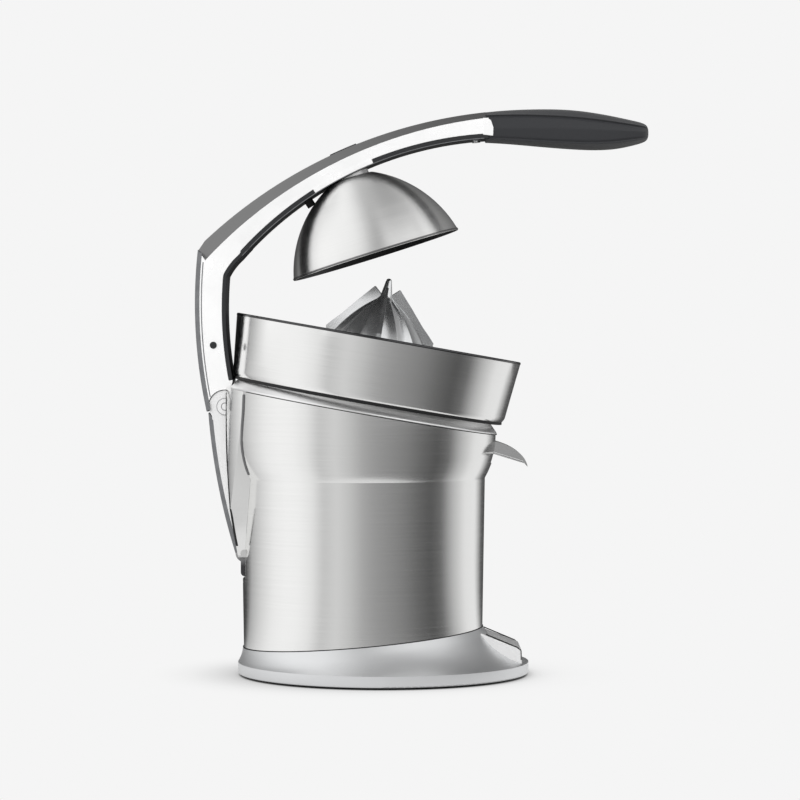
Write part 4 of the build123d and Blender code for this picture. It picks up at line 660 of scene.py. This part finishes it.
real = put(cone_tree, "GeometryNodeRealizeInstances", {"Geometry": whole.outputs[0]})
faced = put(cone_tree, "GeometryNodeSetMaterial", {"Geometry": real.outputs[0], "Material": given["Material"]})
put(cone_tree, "NodeGroupOutput", {0: faced.outputs[0]})
cone_maker = bpy.data.objects.new("reamer_maker", bpy.data.meshes.new("reamer_maker"))
scene.collection.objects.link(cone_maker)
step = cone_maker.modifiers.new("flutes", "NODES")
step.node_group = cone_tree
for label, value in (
    ("Flutes", 15), ("Flute depth", 2.6 * mm), ("Fins", 3), ("Fin", fin), ("Spike", spike),
    ("Underside", underside), ("Material", cone_metal),
):
    step[cone_sockets[label]] = value
reamer = plain_mesh(cone_maker, "reamer_cone")
for helper in (fin, spike, underside):
    bpy.data.objects.remove(helper)
reamer.data.transform(Matrix((
    (rim_x.x, 0, rim_axis.x, rim_centre.x * mm),
    (0, 1, 0, 0),
    (rim_x.z, 0, rim_axis.z, rim_centre.z * mm),
    (0, 0, 0, 1),
)))
soften(reamer, 0.45, 2, 34)
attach(reamer, "reamer")
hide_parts("cone")

# Turned and plated steel: the shaft, the idler's axle, the return spring and the screws,
# nickel plated, with faint marks from the lathe.
plated, tree, shader = finish_of("nickel_plate", {"Base Color": linear("#DCDDDE"), "Metallic": 1.0})
polished(tree, shader, mottle(tree, 1.5), 0.14, 0.26)
wear("idler_axle output_shaft return_spring", plated)
wear("plate_screw_1 plate_screw_2 plate_screw_3 plate_screw_4", plated)
wear("gearbox_screw_1 gearbox_screw_2 gearbox_screw_3 gearbox_screw_4", plated)
dress("arm_screw", "arm", plated, 0.2)

# Spout: a polished stainless chute that tips up on two trunnions to stop the drip,
# brushed along its run.
spout_steel = brushed("steel_polished_spout", "#DADADA", 0.16, across="Y", grit=1.5)
dress("spout", "spout", spout_steel, 0.25)

# Lower link: a zinc casting, satin plated, darkened to near black towards its foot by painted shade, on a pin
# at its foot and one at the knuckle, with a grey anodised strip down its back.
link_metal, tree, shader = finish_of("satin_plate", {"Metallic": 0.3, "Coat Weight": 0.3})
cloud = mottle(tree, 22, 3.0)
plate_tint = tinted(tree, shader, cloud, (0.3, "#E2E2E2"), (0.7, "#EAEAEA"))
where = put(tree, "ShaderNodeTexCoord")
level = put(tree, "ShaderNodeSeparateXYZ", {0: where.outputs["Object"]})
# Painted shade: the plate's colour falls to near black from 104 mm down to 80 mm, where the link sits low in
# the housing.
painted_shade_below, unshaded_above = 80 * mm, 104 * mm
bright = ranged(tree, level.outputs["Z"], painted_shade_below, unshaded_above)
tree.links.new(blend(tree, bright, linear("#2A2A2C"), plate_tint), shader.inputs["Base Color"])
polished(tree, shader, cloud, 0.2, 0.32)
dress("lower_link", "link", link_metal, 0.6)
dress("pivot_pin", "link", link_metal, 0.3)
edge_strip, tree, shader = finish_of("grey_anodised_strip", {"Metallic": 0.35, "Roughness": 0.42})
tinted(tree, shader, mottle(tree, 6, 3.0), (0.3, "#6C6D6F"), (0.7, "#7A7B7D"))
dress("link_strip", "link", edge_strip, 0.5)

# Washers of the knuckle: turned discs in the link's own finish, each with a fine groove near its edge
# and a dark gap about the end of the pin, where the nylon bush shows.
trim, tree, shader = finish_of("moulded_nylon", {"Base Color": linear("#1D1E20"), "Roughness": 0.4})
raised(tree, shader, mottle(tree, 0.7), 0.05, 0.15)
dress("washer_near", "link", link_metal, 0.3)
dress("washer_far", "link", link_metal, 0.3)
knuckle_x, knuckle_z = -99.6, 195.6
washer_low, washer_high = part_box("washer_near")[0][1] / mm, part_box("washer_far")[1][1] / mm
for label, reach, thick, ring_finish in (("groove", 6.0, 0.35, edge_strip), ("pin_gap", 2.5, 0.7, trim)):
    rings = [
        [(knuckle_x + reach * cos(a), side, knuckle_z + reach * sin(a)) for a in turns[::3]]
        for side in (washer_low, washer_high)
    ]
    swept(
        "washer_" + label, rings, thick, thick, ring_finish, "link", closed=True, rounding=0.05
    )

# Arm: one bright casting from the knuckle over the elbow to the grip,
# plated and polished, its sides nearly white.
arm_metal, tree, shader = finish_of("polished_casting", {"Metallic": 0.3, "Coat Weight": 0.3})
cloud = mottle(tree, 22, 3.0)
tinted(tree, shader, cloud, (0.3, "#F1F1F1"), (0.7, "#F7F7F7"))
polished(tree, shader, cloud, 0.2, 0.32)
dress("arm_casting", "arm", arm_metal, 0.5)

# Arm cover: brushed stainless bent over the top of the casting,
# scratched along its length, its steel painted mid grey for the dark overhead that its top reflects.
# Painted reflection: the cover's steel colour is mid grey where the other steels are near white.
cover_steel_painted_dark = brushed("steel_cover_painted_dark", "#7E7E7E", 0.36, across="Y", grit=0.9)
dress("arm_cover", "arm", cover_steel_painted_dark, 0.3)

# Under cover, plugs and cap: dark nylon mouldings pressed into the casting.
# The strip down the arm's back matches the link's.
# Painted shade: the under cover's dark nylon also stands for the dark band that the arm's under edge reflects.
dress("arm_under", "arm", trim, 0.4)
dress("arm_strip", "arm", edge_strip, 0.4)
dress("hub_cap", "arm", trim, 0.4)
dress("plug_near", "arm", trim, 0.3)
dress("plug_far", "arm", trim, 0.3)

# Edging of the arm: a band of the dark nylon wraps the inner face of the upright, painted shade for the dark
# that its edge reflects, and a thin grey bead edges the under cover. Grey linings edge the backs of arm and
# link, beside a scored line on the arm, and a bright saddle lies over the boss.
arm_half, front_half, link_half = 20.0, 16.0, 18.0
elbow_head, elbow_middle, elbow_foot = (-88.3, 302.8), (-93.7, 297.0), (-98.1, 290.0)
elbow_centre, elbow_radius = circle_through(elbow_head, elbow_middle, elbow_foot)
upright_centre, upright_radius, upright_foot = (177.7, 266.9), 276.8, 214.5
under_front, under_radius = (91.0, 389.6), 256.9
chord = Vector(under_front) - Vector(elbow_head)
drop = (under_radius ** 2 - (chord.length / 2) ** 2) ** 0.5 / chord.length
under_centre = (Vector(under_front) + Vector(elbow_head)) / 2 + drop * Vector((chord.y, -chord.x))
arm_back, link_back = (239.0, 269.4), (348.8, 226.8)


def half_width(x):
    """Half the arm's width at x: straight up to the elbow, then tapering to the grip."""
    share = (x - elbow_head[0]) / (under_front[0] - elbow_head[0])
    return arm_half - (arm_half - front_half) * min(1.0, max(0.0, share))


def under_edge(inset, start, end, proud):
    """Points beside the arm's under edge from x start back to x end, so far inside it and proud of its side."""
    reach = under_radius + inset
    spots = []
    for i in range(61):
        x = start + (end - start) * i / 60
        z = under_centre[1] + (reach ** 2 - (x - under_centre[0]) ** 2) ** 0.5
        spots.append((x, half_width(x) + proud, z))
    return spots


def upright_edge(inset):
    """Points beside the inner edge of the elbow and the upright, from the top down, so far inside it."""
    first = atan2(elbow_head[1] - elbow_centre[1], elbow_head[0] - elbow_centre[0])
    last = atan2(elbow_foot[1] - elbow_centre[1], elbow_foot[0] - elbow_centre[0]) % (2 * pi)
    reach = elbow_radius + inset
    spots = []
    for i in range(13):
        a = first + (last - first) * i / 12
        spots.append((elbow_centre[0] + reach * cos(a), arm_half, elbow_centre[1] + reach * sin(a)))
    reach = upright_radius + inset
    for i in range(1, 31):
        z = elbow_foot[1] + (upright_foot - elbow_foot[1]) * i / 30
        x = upright_centre[0] - (reach ** 2 - (z - upright_centre[1]) ** 2) ** 0.5
        spots.append((x, arm_half, z))
    return spots


def back_line(centre, radius, side, top, pitch):
    """Points along the back of arm or link, from the top down, so many mm of height apart."""
    levels = [top - pitch * i for i in range(31)]
    return [(centre[0] - (radius ** 2 - (z - centre[1]) ** 2) ** 0.5, side, z) for z in levels]


# Painted shade: the dark nylon band on the upright's inner face stands for the dark reflection of its edge.
painted_shade_inset = 1.35
painted_shade_edge = under_edge(painted_shade_inset, -82.0, -87.5, 0.0)[::10] + upright_edge(painted_shade_inset)
swept("arm_inlay", [[(x, 0.0, z) for x, y, z in painted_shade_edge]], 40.5, 3.2, trim, "arm", rounding=0.6)
bead = under_edge(0.3, 88.0, -87.0, 0.1)
swept("arm_bead", both_sides(bead), 0.5, 0.5, edge_strip, "arm")
saddle = under_edge(2.2, 7.0, -35.0, 0.1)
swept("arm_saddle", both_sides(saddle), 0.6, 3.2, arm_metal, "arm")
score = back_line(arm_back, 355.6, arm_half, 300.0, 3.25)
swept("arm_score_line", both_sides(score), 0.3, 0.8, edge_strip, "arm")
lining = back_line(arm_back, 358.65, arm_half, 307.0, 3.8)
swept("arm_back_lining", both_sides(lining), 0.3, 3.3, edge_strip, "arm")
lining = back_line(link_back, 460.4, link_half, 186.0, 3.2)
swept("link_back_lining", both_sides(lining), 0.3, 3.0, edge_strip, "link")

# Grip: nylon overmoulded with soft-touch rubber, dull, with crisp creases along its sides.
# Two bright end plates of the arm frame its front end.
grip_skin, tree, shader = finish_of("soft_touch_rubber", {
    "Base Color": linear("#26272A"), "Roughness": 0.5, "Sheen Weight": 0.15,
})
raised(tree, shader, mottle(tree, 0.5), 0.04, 0.1)
grip_stations = [
    # x, top, upper crease, middle, lower crease and bottom in mm, then the half width at the middle
    (88.5, 409.6, 405.6, 396.8, 390.2, 387.7, 16.2), (100.0, 410.9, 405.9, 397.0, 389.8, 387.2, 16.5),
    (115.0, 411.8, 406.1, 397.2, 389.0, 386.0, 16.8), (133.0, 412.2, 405.6, 397.2, 387.9, 384.3, 17.0),
    (151.0, 411.8, 404.6, 397.0, 387.0, 382.9, 16.9), (168.0, 409.6, 403.0, 396.6, 386.6, 382.0, 16.5),
    (183.0, 406.8, 401.0, 396.0, 387.4, 382.6, 15.4), (194.0, 404.3, 399.4, 395.6, 388.9, 384.8, 13.6),
    (203.5, 402.3, 398.2, 395.2, 390.1, 387.2, 11.2), (208.2, 399.6, 397.2, 395.0, 391.6, 389.6, 7.0),
]
front_hollow, hollow_drop, hollow_reach = 3.2, 1.5, 9.0
creased_corners, crease_side, crease_front = (3, 4, 5, 6, 7, 8, 9, 15, 16, 17, 18, 19, 20, 21), 0.8, 0.9
grip_form = bmesh.new()
grip_rings = []
for x, top, upper, middle, lower, bottom, half in grip_stations:
    side = [
        (0.0, top), (0.45 * half, top - 0.12 * (top - upper)), (0.80 * half, upper + 0.35 * (top - upper)),
        (0.95 * half, upper + 0.9), (0.87 * half, upper - 0.3), (0.91 * half, upper - 1.5), (half, middle),
        (0.94 * half, lower + 1.5), (0.89 * half, lower + 0.2), (0.93 * half, lower - 0.9),
        (0.70 * half, bottom + 0.25 * (lower - bottom)), (0.35 * half, bottom), (0.0, bottom),
    ]
    hollow = 0.0 if grip_rings else front_hollow
    spots = []
    for y, z in side + [(-y, z) for y, z in side[-2:0:-1]]:
        inwards = hollow * max(0.0, 1 - abs(z - middle + hollow_drop) / hollow_reach)
        spots.append(grip_form.verts.new(((x + inwards) * mm, y * mm, z * mm)))
    grip_rings.append(spots)
corners = range(len(grip_rings[0]))
for ring_a, ring_b in zip(grip_rings, grip_rings[1:]):
    for i in corners:
        grip_form.faces.new((ring_a[i - 1], ring_a[i], ring_b[i], ring_b[i - 1]))
grip_form.faces.new(grip_rings[0])
grip_form.faces.new(grip_rings[-1])
bmesh.ops.recalc_face_normals(grip_form, faces=grip_form.faces)
for face in grip_form.faces:
    face.smooth = True
crease = grip_form.edges.layers.float.new("crease_edge")
for ring_a, ring_b in zip(grip_rings, grip_rings[1:]):
    for i in creased_corners:
        grip_form.edges.get((ring_a[i], ring_b[i]))[crease] = crease_side
for i in corners:
    grip_form.edges.get((grip_rings[0][i], grip_rings[0][i - 1]))[crease] = crease_front
grip = piece_from(grip_form, "hand_grip", grip_skin)
smooth = grip.modifiers.new("smooth", "SUBSURF")
smooth.levels = smooth.render_levels = 3
end_outline = [(87.0, 404.4), (90.6, 404.4), (92.8, 402.6), (94.6, 397.4), (94.4, 391.4), (87.0, 392.2)]
end_inside, end_outside = 15.0, 17.1
end_form = bmesh.new()
for side in (-1, 1):
    rows = [
        [end_form.verts.new((x * mm, side * y * mm, z * mm)) for x, z in end_outline]
        for y in (end_inside, end_outside)
    ]
    end_form.faces.new(rows[0])
    end_form.faces.new(rows[1])
    for i in range(len(end_outline)):
        end_form.faces.new((rows[0][i - 1], rows[0][i], rows[1][i], rows[1][i - 1]))
bmesh.ops.recalc_face_normals(end_form, faces=end_form.faces)
arm_end = piece_from(end_form, "arm_end_plates", arm_metal)
soften(arm_end, 0.4, 2, 34)
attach(arm_end, "arm")
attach(grip, "arm")
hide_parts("grip")

# Dome: spun stainless cup that presses the fruit, hung on the arm. The turning marks run round the dome,
# so every light is drawn out from its crown to its rim. Inside it is black.
dome_centre, dome_lean = Vector((9.5, 0, 305.5)), 17.3
dome_axis = Vector((-sin(radians(dome_lean)), 0, cos(radians(dome_lean))))
dome_steel = brushed("steel_spun_dome", "#F2F2F1", 0.35, lean=dome_lean, shine=0.9, turn=0.25)
tree = dome_steel.node_tree
shader = next(node for node in tree.nodes if node.type == "BSDF_PRINCIPLED")
where = put(tree, "ShaderNodeTexCoord").outputs
outwards = put(tree, "ShaderNodeVectorMath", {0: where["Object"], 1: dome_centre * mm}, operation="SUBTRACT")
marks = put(tree, "ShaderNodeVectorMath", {0: dome_axis, 1: outwards.outputs[0]}, operation="CROSS_PRODUCT")
marks = put(
    tree, "ShaderNodeVectorTransform", {0: marks.outputs[0]},
    vector_type="VECTOR", convert_from="OBJECT", convert_to="WORLD",
)
tree.links.new(marks.outputs[0], shader.inputs["Tangent"])
facing = put(
    tree, "ShaderNodeVectorMath", {0: where["Normal"], 1: outwards.outputs[0]}, operation="DOT_PRODUCT"
)
inside = reckon(tree, "LESS_THAN", facing.outputs["Value"], 0.0)
tree.links.new(reckon(tree, "SUBTRACT", 1.0, inside), shader.inputs["Metallic"])
steel_tint = shader.inputs["Base Color"].links[0].from_socket
tree.links.new(blend(tree, inside, steel_tint, linear("#161617")), shader.inputs["Base Color"])
dress("dome", "arm", dome_steel, 0.3)

# Rim of the dome: the edge of the cup is rolled over into a narrow steel bead,
# darker than the cup.
lip_steel = brushed("steel_dome_lip", "#8C8C8C", 0.3, lean=dome_lean)
lip_radius, lip_rise = 62.1, 0.9
dome_across = Vector((dome_axis.z, 0, -dome_axis.x))
lip_circle = leaning_circle(dome_centre + lip_rise * dome_axis, dome_across, lip_radius)
swept("dome_lip", [lip_circle], 1.7, 1.7, lip_steel, "arm", closed=True, rounding=0.6)

# Boss and liner of the dome: a bright boss in the link's finish holds the cup to the arm,
# and a black polypropylene moulding lines it.
dress("dome_hub", "arm", link_metal, 0.4)
liner_plastic, tree, shader = finish_of("black_polypropylene", {
    "Base Color": linear("#17181A"), "Roughness": 0.5,
})
raised(tree, shader, mottle(tree, 0.7), 0.06, 0.15)
wear("dome_liner", liner_plastic)
